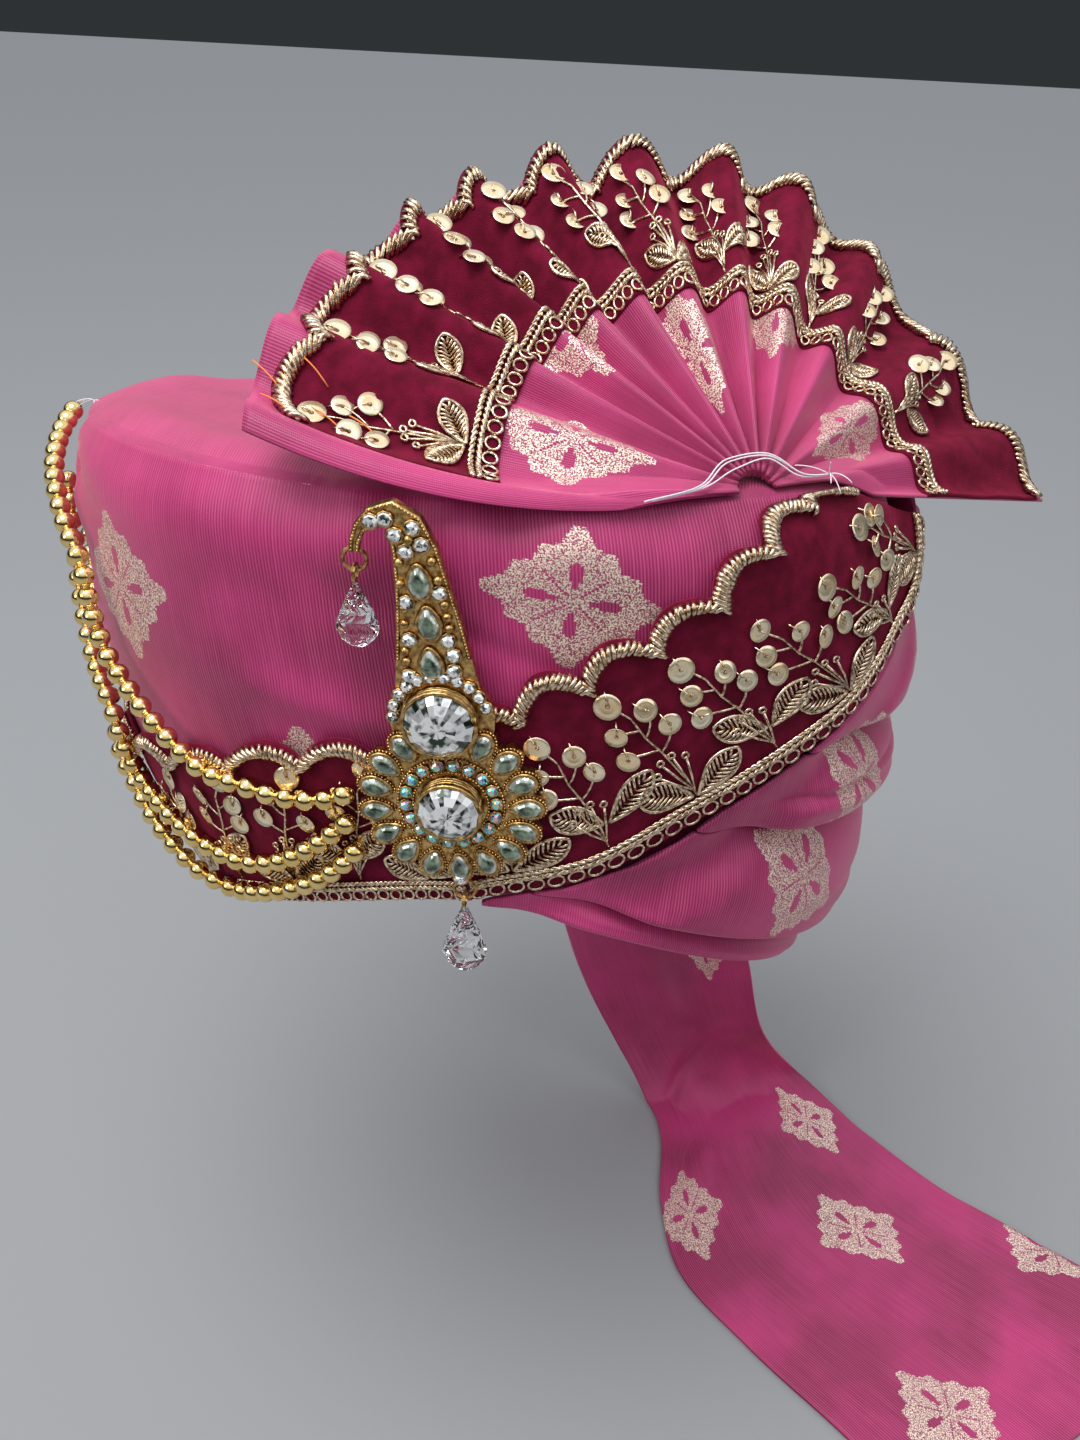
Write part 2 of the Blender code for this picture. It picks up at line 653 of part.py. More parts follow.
# Ring of round wire about a centre, with two directions spanning its plane
def wire_ring(name, centre, first, second, radius, wire, mat, around=12, sides=6):
    axis = np.cross(first, second)
    points = []
    for i in range(around):
        angle = 2 * pi * i / around
        out = cos(angle) * first + sin(angle) * second
        for j in range(sides):
            turn = 2 * pi * j / sides
            points.append(centre + out * (radius + wire * cos(turn)) + axis * wire * sin(turn))
    faces = []
    for i in range(around):
        for j in range(sides):
            k = (i + 1) % around
            m = (j + 1) % sides
            faces.append((i * sides + j, k * sides + j, k * sides + m, i * sides + m))
    return solid(name, points, faces, mat)


# Fuse one solid into another and remove it
def fuse(base, extra):
    modifier = base.modifiers.new("fuse", "BOOLEAN")
    modifier.operation = "UNION"
    modifier.object = extra
    modifier.solver = "EXACT"
    graph = bpy.context.evaluated_depsgraph_get()
    mesh = bpy.data.meshes.new_from_object(base.evaluated_get(graph))
    base.modifiers.clear()
    old = base.data
    base.data = mesh
    bpy.data.meshes.remove(old)
    bpy.data.objects.remove(extra, do_unlink=True)


# Place at a distance and an angle from the middle of the flower
def round_flower(distance, angle):
    return (flower_centre[0] + distance * cos(angle), flower_centre[1] + distance * sin(angle))


def petal_angles():
    return petal_first + petal_sweep * np.arange(petal_count) / (petal_count - 1)


# Outline of the petal rosette, with a rounded lobe for each petal
def rosette_outline():
    step = petal_sweep / (petal_count - 1)
    rim = petal_ring_radius + petal_length / 2 + petal_margin
    points = []
    for angle in petal_angles():
        for turn, share in ((-0.5, 0.86), (-0.22, 0.985), (0.22, 0.985)):
            a = angle + turn * step
            points.append(round_flower(rim * share, a))
    for a in (petal_first + petal_sweep + 0.5 * step, petal_first + petal_sweep + 1.2 * step):
        points.append(round_flower(rim * 0.6, a))
    return points


def disc_outline(centre, radius, sides):
    angle = 2 * pi * np.arange(sides) / sides
    return [(centre[0] + radius * cos(a), centre[1] + radius * sin(a)) for a in angle]


# Outline of the plume, up its right edge and down its left
def plume_outline():
    line = np.array(PLUME)[:, :2] * plume_height
    line[:, 1] += plume_foot
    half = np.array(PLUME)[:, 2] * plume_height
    along = np.gradient(line, axis=0)
    along /= np.linalg.norm(along, axis=1, keepdims=True)
    side = np.stack([along[:, 1], -along[:, 0]], axis=1)
    right = line + side * half[:, None]
    left = line - side * half[:, None]
    return list(right) + list(left[::-1])


# Gold setting of the brooch: rosette, plume, two raised stone seats and two links
def brooch_setting(mat):
    thick = plate_thickness
    base = plate("brooch_setting", rosette_outline(), 0.0, thick, mat)
    fuse(base, plate("plume", plume_outline(), plate_step, thick + plate_step, mat))
    disc = disc_outline(flower_centre, flower_stone_radius * stone_foot, 14)
    fuse(base, plate("flower_seat", disc, 6 * plate_step, thick + flower_stone_lift, mat))
    disc = disc_outline(upper_centre, upper_plate_radius, 20)
    fuse(base, plate("upper_plate", disc, 2 * plate_step, thick - 2 * plate_step, mat))
    disc = disc_outline(upper_centre, upper_stone_radius * stone_foot, 14)
    fuse(base, plate("upper_seat", disc, 4 * plate_step, thick + upper_stone_lift, mat))
    middle = thick / 2
    origin = brooch_point(0.0, 0.0, 0.0)
    right = brooch_point(1.0, 0.0, 0.0) - origin
    up = brooch_point(0.0, 1.0, 0.0) - origin
    first = right * cos(link_turn) + up * sin(link_turn)
    second = up * cos(link_turn) - right * sin(link_turn)
    for name, place in (("upper_link", upper_link), ("lower_link", lower_link)):
        centre = brooch_point(place[0], place[1], middle)
        fuse(base, wire_ring(name, centre, first, second, link_radius, link_wire, mat))
    x, y = lower_link
    neck = [
        (x - neck_low_half, y + link_radius),
        (x + neck_low_half, y + link_radius),
        (x + neck_high_half, y + neck_rise),
        (x - neck_high_half, y + neck_rise),
    ]
    fuse(base, plate("lower_neck", neck, 5 * plate_step, thick - 4 * plate_step, mat))
    base.data.materials.clear()
    base.data.materials.append(mat)
    base.data.shade_smooth()
    base.data.set_sharp_from_angle(angle=radians(30.0))
    return base


# Teardrop about its own middle: pointed towards +along, round at the other end
def teardrop(length, width, sides=8):
    points = []
    for i in range(sides):
        angle = 2 * pi * i / sides
        narrow = 1.0 - 0.42 * max(0.0, cos(angle))
        points.append((length / 2 * cos(angle), width / 2 * sin(angle) * narrow))
    return points


# Cut stone: an outline at the girdle, narrowing to a flat table
def cut_stone(name, outline, centre, turn, base_lift, thickness, steps, mat):
    rings = []
    for spread, share in steps:
        ring = []
        for along, side in outline:
            x = centre[0] + spread * (along * cos(turn) - side * sin(turn))
            y = centre[1] + spread * (along * sin(turn) + side * cos(turn))
            ring.append(brooch_point(x, y, base_lift + thickness * share))
        rings.append(ring)
    return lofted(name, rings, mat, 10.0)


def brooch_stones(kundan, crystal):
    rest = plate_thickness + stone_clearance
    for number, angle in enumerate(petal_angles()):
        centre = round_flower(petal_ring_radius, angle)
        outline = teardrop(petal_length, petal_width)
        name = f"petal_stone_{number + 1:02d}"
        cut_stone(name, outline, centre, angle + pi, rest, petal_thickness, FLAT_CUT, kundan)
    for name, across, up in PLUME_STONES:
        outline = teardrop(plume_stone_length, plume_stone_width)
        centre = (across * plume_height, plume_foot + up * plume_height)
        cut_stone(name, outline, centre, pi / 2, rest + plate_step, plume_stone_thickness, FLAT_CUT, kundan)
    for name, centre, radius, lift in (
        ("flower_stone", flower_centre, flower_stone_radius, flower_stone_lift),
        ("upper_stone", upper_centre, upper_stone_radius, upper_stone_lift),
    ):
        outline = disc_outline((0.0, 0.0), radius, 14)
        cut_stone(name, outline, centre, 0.0, rest + lift, stone_thickness, DEEP_CUT, crystal)


# Crystal drop on a wire loop that passes through its link, hanging straight down
def hanging_drop(name, place, length, width, gold, crystal):
    link = brooch_point(place[0], place[1], plate_thickness / 2)
    pivot = link - np.array([0.0, 0.0, link_radius])
    forward = np.array([0.0, 1.0, 0.0])
    up = np.array([0.0, 0.0, 1.0])
    loop_centre = pivot - up * (loop_radius - loop_wire - link_wire - loop_clearance)
    wire_ring(name + "_loop", loop_centre, forward, up, loop_radius, loop_wire, gold)
    top = loop_centre[2] - loop_radius - loop_wire - stone_clearance
    rings = []
    for share, girth in CRYSTAL_CUT:
        ring = []
        for j in range(8):
            angle = 2 * pi * (j + 0.5) / 8
            x = link[0] + width / 2 * girth * cos(angle)
            y = link[1] + width / 2 * girth * crystal_flatness * sin(angle)
            ring.append((x, y, top - length * share))
        rings.append(ring)
    lofted(name + "_crystal", rings, crystal, 10.0)
    return pivot


# Beads fused in a row along a route
def bead_string(name, route, mat):
    length = curve_through(route, [0.0, 1.0])[1]
    beads = int(round(length / bead_pitch))
    shares = []
    radii = []
    for bead in range(beads):
        for share, girth in BEAD_SECTION:
            shares.append((bead + share) / beads)
            radii.append(bead_diameter / 2 * girth)
    shares.append(1.0)
    radii.append(bead_diameter / 2 * BEAD_SECTION[0][1])
    centres = curve_through(route, shares)[0]
    along = np.gradient(centres, axis=0)
    along /= np.linalg.norm(along, axis=1, keepdims=True)
    side = np.cross(along[0], [0.0, 0.0, 1.0])
    rings = []
    for centre, way, radius in zip(centres, along, radii):
        side = side - way * np.dot(side, way)
        side = side / np.linalg.norm(side)
        other = np.cross(way, side)
        ring = []
        for j in range(bead_sides):
            angle = 2 * pi * j / bead_sides
            ring.append(centre + radius * (cos(angle) * side + sin(angle) * other))
        rings.append(ring)
    return lofted(name, rings, mat, 60.0)


# Round tube of a string's outer size along its route
def string_tube(name, route, mat):
    length = curve_through(route, [0.0, 1.0])[1]
    count = int(round(length / (bead_diameter * tube_step)))
    places = curve_through(route, np.linspace(0.0, 1.0, count + 1))[0]
    data = bpy.data.curves.new(name, "CURVE")
    data.dimensions = "3D"
    data.bevel_depth = bead_diameter / 2
    data.bevel_resolution = 2
    data.use_fill_caps = True
    spline = data.splines.new("POLY")
    spline.points.add(len(places) - 1)
    for point, place in zip(spline.points, places):
        point.co = (*place, 1.0)
    data.materials.append(mat)
    item = bpy.data.objects.new(name, data)
    bpy.context.collection.objects.link(item)
    return item


def main():
    clear_scene()
    brocade = principled("brocade_cloth", (0.42, 0.04, 0.20), 0.5)
    velvet = principled("velvet", (0.15, 0.005, 0.04), 0.85)
    gold = principled("gold_metal", (0.72, 0.50, 0.20), 0.3, 1.0)
    beads = principled("bead_gold", (0.80, 0.62, 0.22), 0.15, 1.0)
    kundan = principled("kundan_glass", (0.55, 0.65, 0.55), 0.05, 0.0, 0.6)
    crystal = principled("crystal", (0.92, 0.92, 0.92), 0.02, 0.0, 0.9)
    turban_body(brocade)
    for row, next_row in zip(FOLDS, FOLDS[1:]):
        wound_fold(row, next_row, brocade)
    velvet_arm("velvet_band_left", LEFT_ARM, left_scallops, velvet)
    velvet_arm("velvet_band_right", RIGHT_ARM, right_scallops, velvet)
    fan_cloth(brocade)
    fan_trim(velvet)
    tail_cloth(brocade)
    brooch_setting(gold)
    brooch_stones(kundan, crystal)
    hanging_drop("lower_drop", lower_link, lower_crystal_length, lower_crystal_width, gold, crystal)
    hanging_drop("upper_drop", upper_link, upper_crystal_length, upper_crystal_width, gold, crystal)
    bead_string("bead_string_upper", UPPER_STRING, beads)
    string_tube("bead_string_middle", MIDDLE_STRING, beads)
    string_tube("bead_string_lower", LOWER_STRING, beads)


main()
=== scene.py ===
# Looks of the tied turban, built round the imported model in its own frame.
# Metres, +Z up. The wearer faces -Y, and +X is the wearer's left.

import bpy
import bmesh
import math
import numpy as np
from mathutils import Matrix, Vector


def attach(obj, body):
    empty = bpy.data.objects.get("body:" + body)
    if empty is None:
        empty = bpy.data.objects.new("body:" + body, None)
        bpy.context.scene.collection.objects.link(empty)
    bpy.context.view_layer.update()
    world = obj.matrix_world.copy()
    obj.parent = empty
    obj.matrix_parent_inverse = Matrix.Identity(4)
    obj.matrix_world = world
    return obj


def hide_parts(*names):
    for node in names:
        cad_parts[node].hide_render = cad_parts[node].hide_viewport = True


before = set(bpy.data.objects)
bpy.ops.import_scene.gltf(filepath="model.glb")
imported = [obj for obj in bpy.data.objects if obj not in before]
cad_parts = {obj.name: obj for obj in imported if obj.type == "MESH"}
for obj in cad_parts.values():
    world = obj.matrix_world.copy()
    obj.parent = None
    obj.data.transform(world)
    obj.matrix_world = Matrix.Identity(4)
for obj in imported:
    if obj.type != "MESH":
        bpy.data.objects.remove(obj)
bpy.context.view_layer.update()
pi = math.pi
skyward = np.array([0.0, 0.0, 1.0])

# Camera: place in metres, angles in degrees, lens and sensor height in millimetres
camera = dict(place=(0.05146, -0.41925, 0.30622), azimuth=6.0, pitch=33.6, roll=2.0, lens=36.25, sensor=36.0)

# The turban's own form, the same sizes as the solid's
form = dict(
    lean=16.0, rimWidth=0.098, rimFront=0.106, rimBack=0.112, height=0.120,
    flareSide=0.034, flareFront=0.028, flareBack=0.016, sideLean=0.012, planPower=2.3,
    dropLeft=0.034, dropRight=0.028, dropBack=0.022, ridgeRise=0.008, ridgeRoll=0.004,
    headWidth=0.081, headDepth=0.098, domeHeight=0.098, foldEnd=256.0, foldSeat=0.009, foldSeatRim=0.003,
)
# Height share, then side, front and back flare and side lean as shares of theirs
bodyProfile = [
    (0.00, 0.00, 0.00, 0.00, 0.00), (0.25, 0.62, 0.39, 0.50, 0.17), (0.50, 0.94, 0.71, 0.80, 0.42),
    (0.75, 1.03, 0.93, 1.00, 0.75), (0.93, 1.01, 1.00, 1.00, 0.93), (1.00, 0.88, 0.86, 0.60, 1.00),
]
# Lower edge of the right velvet arm: azimuth in degrees, height share
armLowerEdge = [
    (0.0, 0.02), (14.0, 0.115), (24.0, 0.24), (31.0, 0.365), (40.0, 0.475),
    (50.0, 0.57), (60.0, 0.665), (66.5, 0.775), (69.0, 0.88), (70.0, 1.0),
]


# Curve through the rows of a table: cubic Hermite with slopes taken between the rows
def through(table, column, at):
    rows = np.array(table, dtype=float)
    x, y = rows[:, 0], rows[:, column]
    slope = np.gradient(y, x)
    inside = np.clip(np.asarray(at, dtype=float), x[0], x[-1])
    i = np.clip(np.searchsorted(x, inside) - 1, 0, len(x) - 2)
    span = x[i + 1] - x[i]
    s = (inside - x[i]) / span
    start = (2 * s**3 - 3 * s**2 + 1) * y[i] + (s**3 - 2 * s**2 + s) * span * slope[i]
    end = (3 * s**2 - 2 * s**3) * y[i + 1] + (s**3 - s**2) * span * slope[i + 1]
    return start + end


# Length of a path up to each of its points
def lengthsTo(points):
    return np.concatenate([[0.0], np.cumsum(np.linalg.norm(np.diff(points, axis=0), axis=1))])


# Points read at shares of the length of a curve through given points, with that length
def alongCurve(points, shares):
    points = np.asarray(points, dtype=float)
    knots = lengthsTo(points)
    table = np.column_stack([knots, points])
    denseAt = np.linspace(0.0, knots[-1], 60 * len(points))
    dense = np.stack([through(table, c + 1, denseAt) for c in range(3)], axis=-1)
    lengths = lengthsTo(dense)
    wanted = np.asarray(shares) * lengths[-1]
    return np.stack([np.interp(wanted, lengths, dense[:, c]) for c in range(3)], axis=-1), lengths[-1]


# Ease from 0 to 1: 3t^2 - 2t^3
def ease(value):
    value = np.clip(value, 0.0, 1.0)
    return value * value * (3.0 - 2.0 * value)


# Bell curve: exp(-v^2)
def bell(value):
    return np.exp(-(value**2))


# Two coordinates as one array of pairs
def paired(first, second):
    return np.stack(np.broadcast_arrays(first, second), axis=-1)


# Corners of a regular polygon in the unit circle: (cos, sin)(2 pi k / n)
def circle(sides):
    turn = np.arange(sides) * 2 * pi / sides
    return paired(np.cos(turn), np.sin(turn))


def unit(vectors):
    return vectors / np.maximum(np.linalg.norm(vectors, axis=-1, keepdims=True), 1e-12)


# Smooth noise on two parameters: a sum of sines whose turns and rates are drawn once for each seed
def ripples(a, b, seed, count=7, low=1.0, high=4.0):
    draw = np.random.default_rng(seed)
    total = np.zeros(np.broadcast(a, b).shape)
    for _ in range(count):
        rateA, rateB = draw.uniform(low, high, 2) * draw.choice([-1, 1], 2)
        total = total + np.sin(a * rateA + b * rateB + draw.uniform(0, 2 * pi)) / count
    return total


# Turn back by the lean, about the X axis
def leaned(points):
    turn = math.radians(form["lean"])
    y = points[..., 1] * math.cos(turn) + points[..., 2] * math.sin(turn)
    z = points[..., 2] * math.cos(turn) - points[..., 1] * math.sin(turn)
    return np.stack([points[..., 0], y, z], axis=-1)


def rimHeight(azimuth):
    side = np.abs(np.sin(azimuth)) ** 1.6
    drop = np.where(np.sin(azimuth) > 0.0, form["dropLeft"], form["dropRight"])
    return -drop * side - form["dropBack"] * (1.0 - np.cos(azimuth)) / 2.0


# Unit radius of the superellipse |sin|^p + |cos|^p = 1 at an azimuth
def planReach(azimuth):
    power = form["planPower"]
    return (np.abs(np.sin(azimuth)) ** power + np.abs(np.cos(azimuth)) ** power) ** (-1.0 / power)


# Upright body: a superellipse whose half axes follow the profile, from the rim's height to the ridge's
def bodyPoint(azimuth, share):
    azimuth, share = np.broadcast_arrays(np.asarray(azimuth, float), np.asarray(share, float))
    s, c = np.sin(azimuth), np.cos(azimuth)
    reach = planReach(azimuth)
    width = form["rimWidth"] + form["flareSide"] * through(bodyProfile, 1, share)
    front = form["rimFront"] + form["flareFront"] * through(bodyProfile, 2, share)
    back = form["rimBack"] + form["flareBack"] * through(bodyProfile, 3, share)
    x = width * s * reach - form["sideLean"] * through(bodyProfile, 4, share)
    y = np.where(c > 0.0, -front, -back) * c * reach
    low = rimHeight(azimuth)
    z = low + (form["height"] + form["ridgeRise"] * s**2 - low) * share
    return np.stack([x, y, z], axis=-1)


# The body's outward normal, from the cross product of its two tangents
def bodyNormal(azimuth, share):
    step = 0.002
    azimuth, share = np.broadcast_arrays(np.asarray(azimuth, float), np.asarray(share, float))
    inner = np.clip(share, 0.02, 0.92)
    roundWay = bodyPoint(azimuth + step, inner) - bodyPoint(azimuth - step, inner)
    upWay = bodyPoint(azimuth, inner + step) - bodyPoint(azimuth, inner - step)
    return unit(np.cross(roundWay, upWay))


# Point that stands off the upright body by a lift
def onBody(azimuth, share, lift):
    return bodyPoint(azimuth, share) + bodyNormal(azimuth, share) * np.asarray(lift)[..., None]


def foldStart(share):
    table = np.array(armLowerEdge)
    return np.radians(np.interp(share, table[:, 1], table[:, 0]))


# 0 on the front panel and 1 among the folds, eased over 11 degrees
def foldZone(azimuth, share, lead):
    roundWay = np.mod(azimuth, 2 * pi)
    start = ease((roundWay - foldStart(share) - lead) / math.radians(11.0))
    end = ease((math.radians(form["foldEnd"]) - lead - roundWay) / math.radians(11.0))
    return start * end


def seatDepth(share):
    return form["foldSeatRim"] + (form["foldSeat"] - form["foldSeatRim"]) * ease(np.asarray(share) / 0.3)


# Mesh from points, quads or triangles (as one array of rows), and corner coordinates for UV maps
def meshPiece(name, points, faces, mat, uvs=None, attributes=None, smooth=True):
    points = np.asarray(points, dtype=np.float32).reshape(-1, 3)
    faces = np.asarray(faces, dtype=np.int32)
    corners = faces.shape[1]
    mesh = bpy.data.meshes.new(name)
    mesh.vertices.add(len(points))
    mesh.vertices.foreach_set("co", points.ravel())
    mesh.loops.add(faces.size)
    mesh.loops.foreach_set("vertex_index", faces.ravel())
    mesh.polygons.add(len(faces))
    mesh.polygons.foreach_set("loop_start", np.arange(0, faces.size, corners, dtype=np.int32))
    mesh.polygons.foreach_set("use_smooth", np.full(len(faces), smooth))
    for key, corner in (uvs or {}).items():
        layer = mesh.uv_layers.new(name=key)
        layer.data.foreach_set("uv", np.asarray(corner, dtype=np.float32).ravel())
    for key, values in (attributes or {}).items():
        layer = mesh.attributes.new(key, "FLOAT", "POINT")
        layer.data.foreach_set("value", np.asarray(values, dtype=np.float32).ravel())
    mesh.update(calc_edges=True)
    mesh.validate()
    mesh.materials.append(mat)
    piece = bpy.data.objects.new(name, mesh)
    bpy.context.scene.collection.objects.link(piece)
    return piece


# Quads of a grid of rows by columns, wrapped where asked
def gridFaces(rows, columns, wrapRows=False, wrapColumns=False):
    i = np.arange(rows if wrapRows else rows - 1)
    j = np.arange(columns if wrapColumns else columns - 1)
    i, j = np.meshgrid(i, j, indexing="ij")
    nextI, nextJ = (i + 1) % rows, (j + 1) % columns
    quads = [i * columns + j, nextI * columns + j, nextI * columns + nextJ, i * columns + nextJ]
    return np.stack(quads, axis=-1).reshape(-1, 4)


# Corner coordinates of a grid's quads from coordinates at its points
def gridCorners(values, faces):
    return values.reshape(-1, values.shape[-1])[faces]


# For each quad, its corners' offset from the motif centre nearest to its middle, turned back, in motif half sizes
def motifCorners(values, faces, centres, size, tall=1.0):
    corners = gridCorners(values, faces)
    middle = corners.mean(axis=1)
    centres = np.asarray(centres, dtype=float)
    gaps = np.linalg.norm(middle[:, None, :] - centres[None, :, :2], axis=-1)
    near = gaps.argmin(axis=1)
    offset = corners - centres[near][:, None, :2]
    turn = np.radians(centres[near][:, 2])[:, None]
    x = offset[..., 0] * np.cos(turn) + offset[..., 1] * np.sin(turn)
    y = offset[..., 1] * np.cos(turn) - offset[..., 0] * np.sin(turn)
    return np.stack([x, y / tall], axis=-1) / size


# Both UV maps of a cloth's grid: the weave in metres, and the offset from the nearest motif
def clothMaps(weave, faces, centres, size, tall=1.0):
    return {"weave": gridCorners(weave, faces), "motif": motifCorners(weave, faces, centres, size, tall)}


# Change a piece's mesh by a rule, if one is given, and point its faces outwards
def reworked(piece, rule=None):
    work = bmesh.new()
    work.from_mesh(piece.data)
    if rule:
        rule(work)
    bmesh.ops.recalc_face_normals(work, faces=work.faces)
    work.to_mesh(piece.data)
    work.free()
    return piece


# Weld the seams that a closed grid leaves
def weldSeams(work):
    bmesh.ops.remove_doubles(work, verts=work.verts, dist=1e-6)


# Fill the open ends of a carried section
def closeEnds(work):
    bmesh.ops.holes_fill(work, edges=[edge for edge in work.edges if edge.is_boundary])


# Many tubes at once: rings of r(cos a side + sin a up) about the points of each path, closed by flat ends
def tubes(paths, ups, radius, sides=6, flatten=1.0):
    paths = np.asarray(paths, dtype=float)
    count, steps = paths.shape[:2]
    tangent = unit(np.gradient(paths, axis=1))
    side = unit(np.cross(tangent, np.broadcast_to(ups, paths.shape)))
    up = np.cross(side, tangent)
    radius = np.broadcast_to(np.asarray(radius, dtype=float), (count, steps))[..., None, None]
    turn = np.arange(sides) * 2 * pi / sides
    ring = np.cos(turn)[:, None] * side[:, :, None, :] + flatten * np.sin(turn)[:, None] * up[:, :, None, :]
    points = (paths[:, :, None, :] + radius * ring).reshape(-1, 3)
    # Each end is closed by quads fanned over its ring, so the sides are even in number
    start = np.array([(0, k, k + 1, k + 2) for k in range(1, sides - 2, 2)])
    ends = np.concatenate([start, start[:, ::-1] + (steps - 1) * sides])
    offsets = (np.arange(count) * steps * sides)[:, None, None]
    sets = [(one[None] + offsets).reshape(-1, 4) for one in (gridFaces(steps, sides, wrapColumns=True), ends)]
    return points, np.concatenate(sets)


# Copies of a small mesh at places with three axes each: place + x right + y up + z out
def copies(shape, faces, places, right, up, out, scale=1.0):
    scale = np.broadcast_to(np.asarray(scale, dtype=float), (len(places),))[:, None, None]
    local = shape[None] * scale
    points = (
        places[:, None, :] + local[..., 0:1] * right[:, None, :] + local[..., 1:2] * up[:, None, :]
        + local[..., 2:3] * out[:, None, :]
    )
    offsets = (np.arange(len(places)) * len(shape))[:, None, None]
    return points.reshape(-1, 3), (faces[None] + offsets).reshape(-1, faces.shape[1])


# Several sets of points and quads as one
def merged(sets):
    offsets = np.cumsum([0] + [len(points) for points, faces in sets])
    faces = [faces + offset for (points, faces), offset in zip(sets, offsets)]
    return np.concatenate([points for points, faces in sets]), np.concatenate(faces)


def joined(name, sets, mat):
    return meshPiece(name, *merged(sets), mat)


# A turned shape: profile radii and heights swept round the Z axis, with quads that close to its poles
def turned(profile, sides):
    profile = np.asarray(profile, dtype=float)
    ring = circle(sides)
    across = profile[:, None, 0:1] * ring[None]
    heights = np.broadcast_to(profile[:, None, 1:2], (*across.shape[:2], 1))
    points = np.concatenate([across, heights], axis=-1).reshape(-1, 3)
    return points, gridFaces(len(profile), sides, wrapColumns=True)


print("scene: form and helpers ready")


# Add a node with its settings and its inputs, each a value or another node's output
def put(tree, kind, inputs=(), **settings):
    made = tree.nodes.new(kind)
    for key, value in settings.items():
        setattr(made, key, value)
    for key, value in dict(inputs).items():
        if isinstance(value, bpy.types.NodeSocket):
            tree.links.new(value, made.inputs[key])
        else:
            made.inputs[key].default_value = value
    return made


def calc(tree, operation, *values):
    return put(tree, "ShaderNodeMath", dict(enumerate(values)), operation=operation).outputs[0]


# Product and sum of outputs and numbers, one node for each step
def times(tree, first, *others):
    for other in others:
        first = calc(tree, "MULTIPLY", first, other)
    return first


def plus(tree, first, *others):
    for other in others:
        first = calc(tree, "ADD", first, other)
    return first


def below(tree, value, limit):
    return calc(tree, "LESS_THAN", value, limit)


def blendColour(tree, amount, first, second):
    made = put(tree, "ShaderNodeMix", {0: amount, 6: first, 7: second}, data_type="RGBA")
    return made.outputs[2]


# Value remapped from one range to 0 to 1, clamped
def remap(tree, value, low, high):
    return put(tree, "ShaderNodeMapRange", {0: value, 1: low, 2: high}).outputs[0]


# Noise read on object coordinates, whose scale is in cycles for each metre
def grain(tree, scale, detail=3.0, vector=None):
    if vector is None:
        vector = put(tree, "ShaderNodeTexCoord").outputs["Object"]
    return put(tree, "ShaderNodeTexNoise", {"Vector": vector, "Scale": scale, "Detail": detail}).outputs[0]


# Bands across one axis of a vector, with a period in the vector's own units
def bands(tree, vector, period, axis, distortion=0.0):
    bandScale = 2 * pi / 20 / period
    values = {"Vector": vector, "Scale": bandScale, "Distortion": distortion}
    return put(tree, "ShaderNodeTexWave", values, wave_type="BANDS", bands_direction=axis).outputs["Fac"]


def newFinish(name, values, colour=None):
    mat = bpy.data.materials.new(name)
    mat.use_nodes = True
    shader = mat.node_tree.nodes["Principled BSDF"]
    for key, value in values.items():
        shader.inputs[key].default_value = value
    if colour:
        shader.inputs["Base Color"].default_value = (*colour, 1.0)
        mat.diffuse_color = (*colour, 1.0)
    return mat, mat.node_tree, shader


def bumped(tree, shader, height, strength, distance):
    made = put(tree, "ShaderNodeBump", {"Strength": strength, "Distance": distance, "Height": height})
    tree.links.new(made.outputs[0], shader.inputs["Normal"])


# The sheen colour is painted into the cloth's colour, as a painted sheen at grazing angles and as painted highlights on
# the ribs
silk = dict(
    deep=(0.215, 0.0050, 0.066, 1), bright=(0.42, 0.018, 0.140, 1), sheen=(0.96, 0.235, 0.37, 1),
    zari=(1.0, 0.86, 0.68, 1), zariDark=(0.30, 0.085, 0.13, 1), ribPeriod=0.00085, weftPeriod=0.00050,
)
# A motif in its half sizes; lobes and slits are counted round it
motifShape = dict(
    threads=30.0, lobes=12.0, lobeDepth=0.060, reach=0.97, tipCut=0.93, slits=4.0, slitWidth=0.055, slitFrom=0.10,
    slitTo=0.46, eyeFrom=0.08, eyeTo=0.52, eyeBend=1.8, eyeWidth=0.075,
)
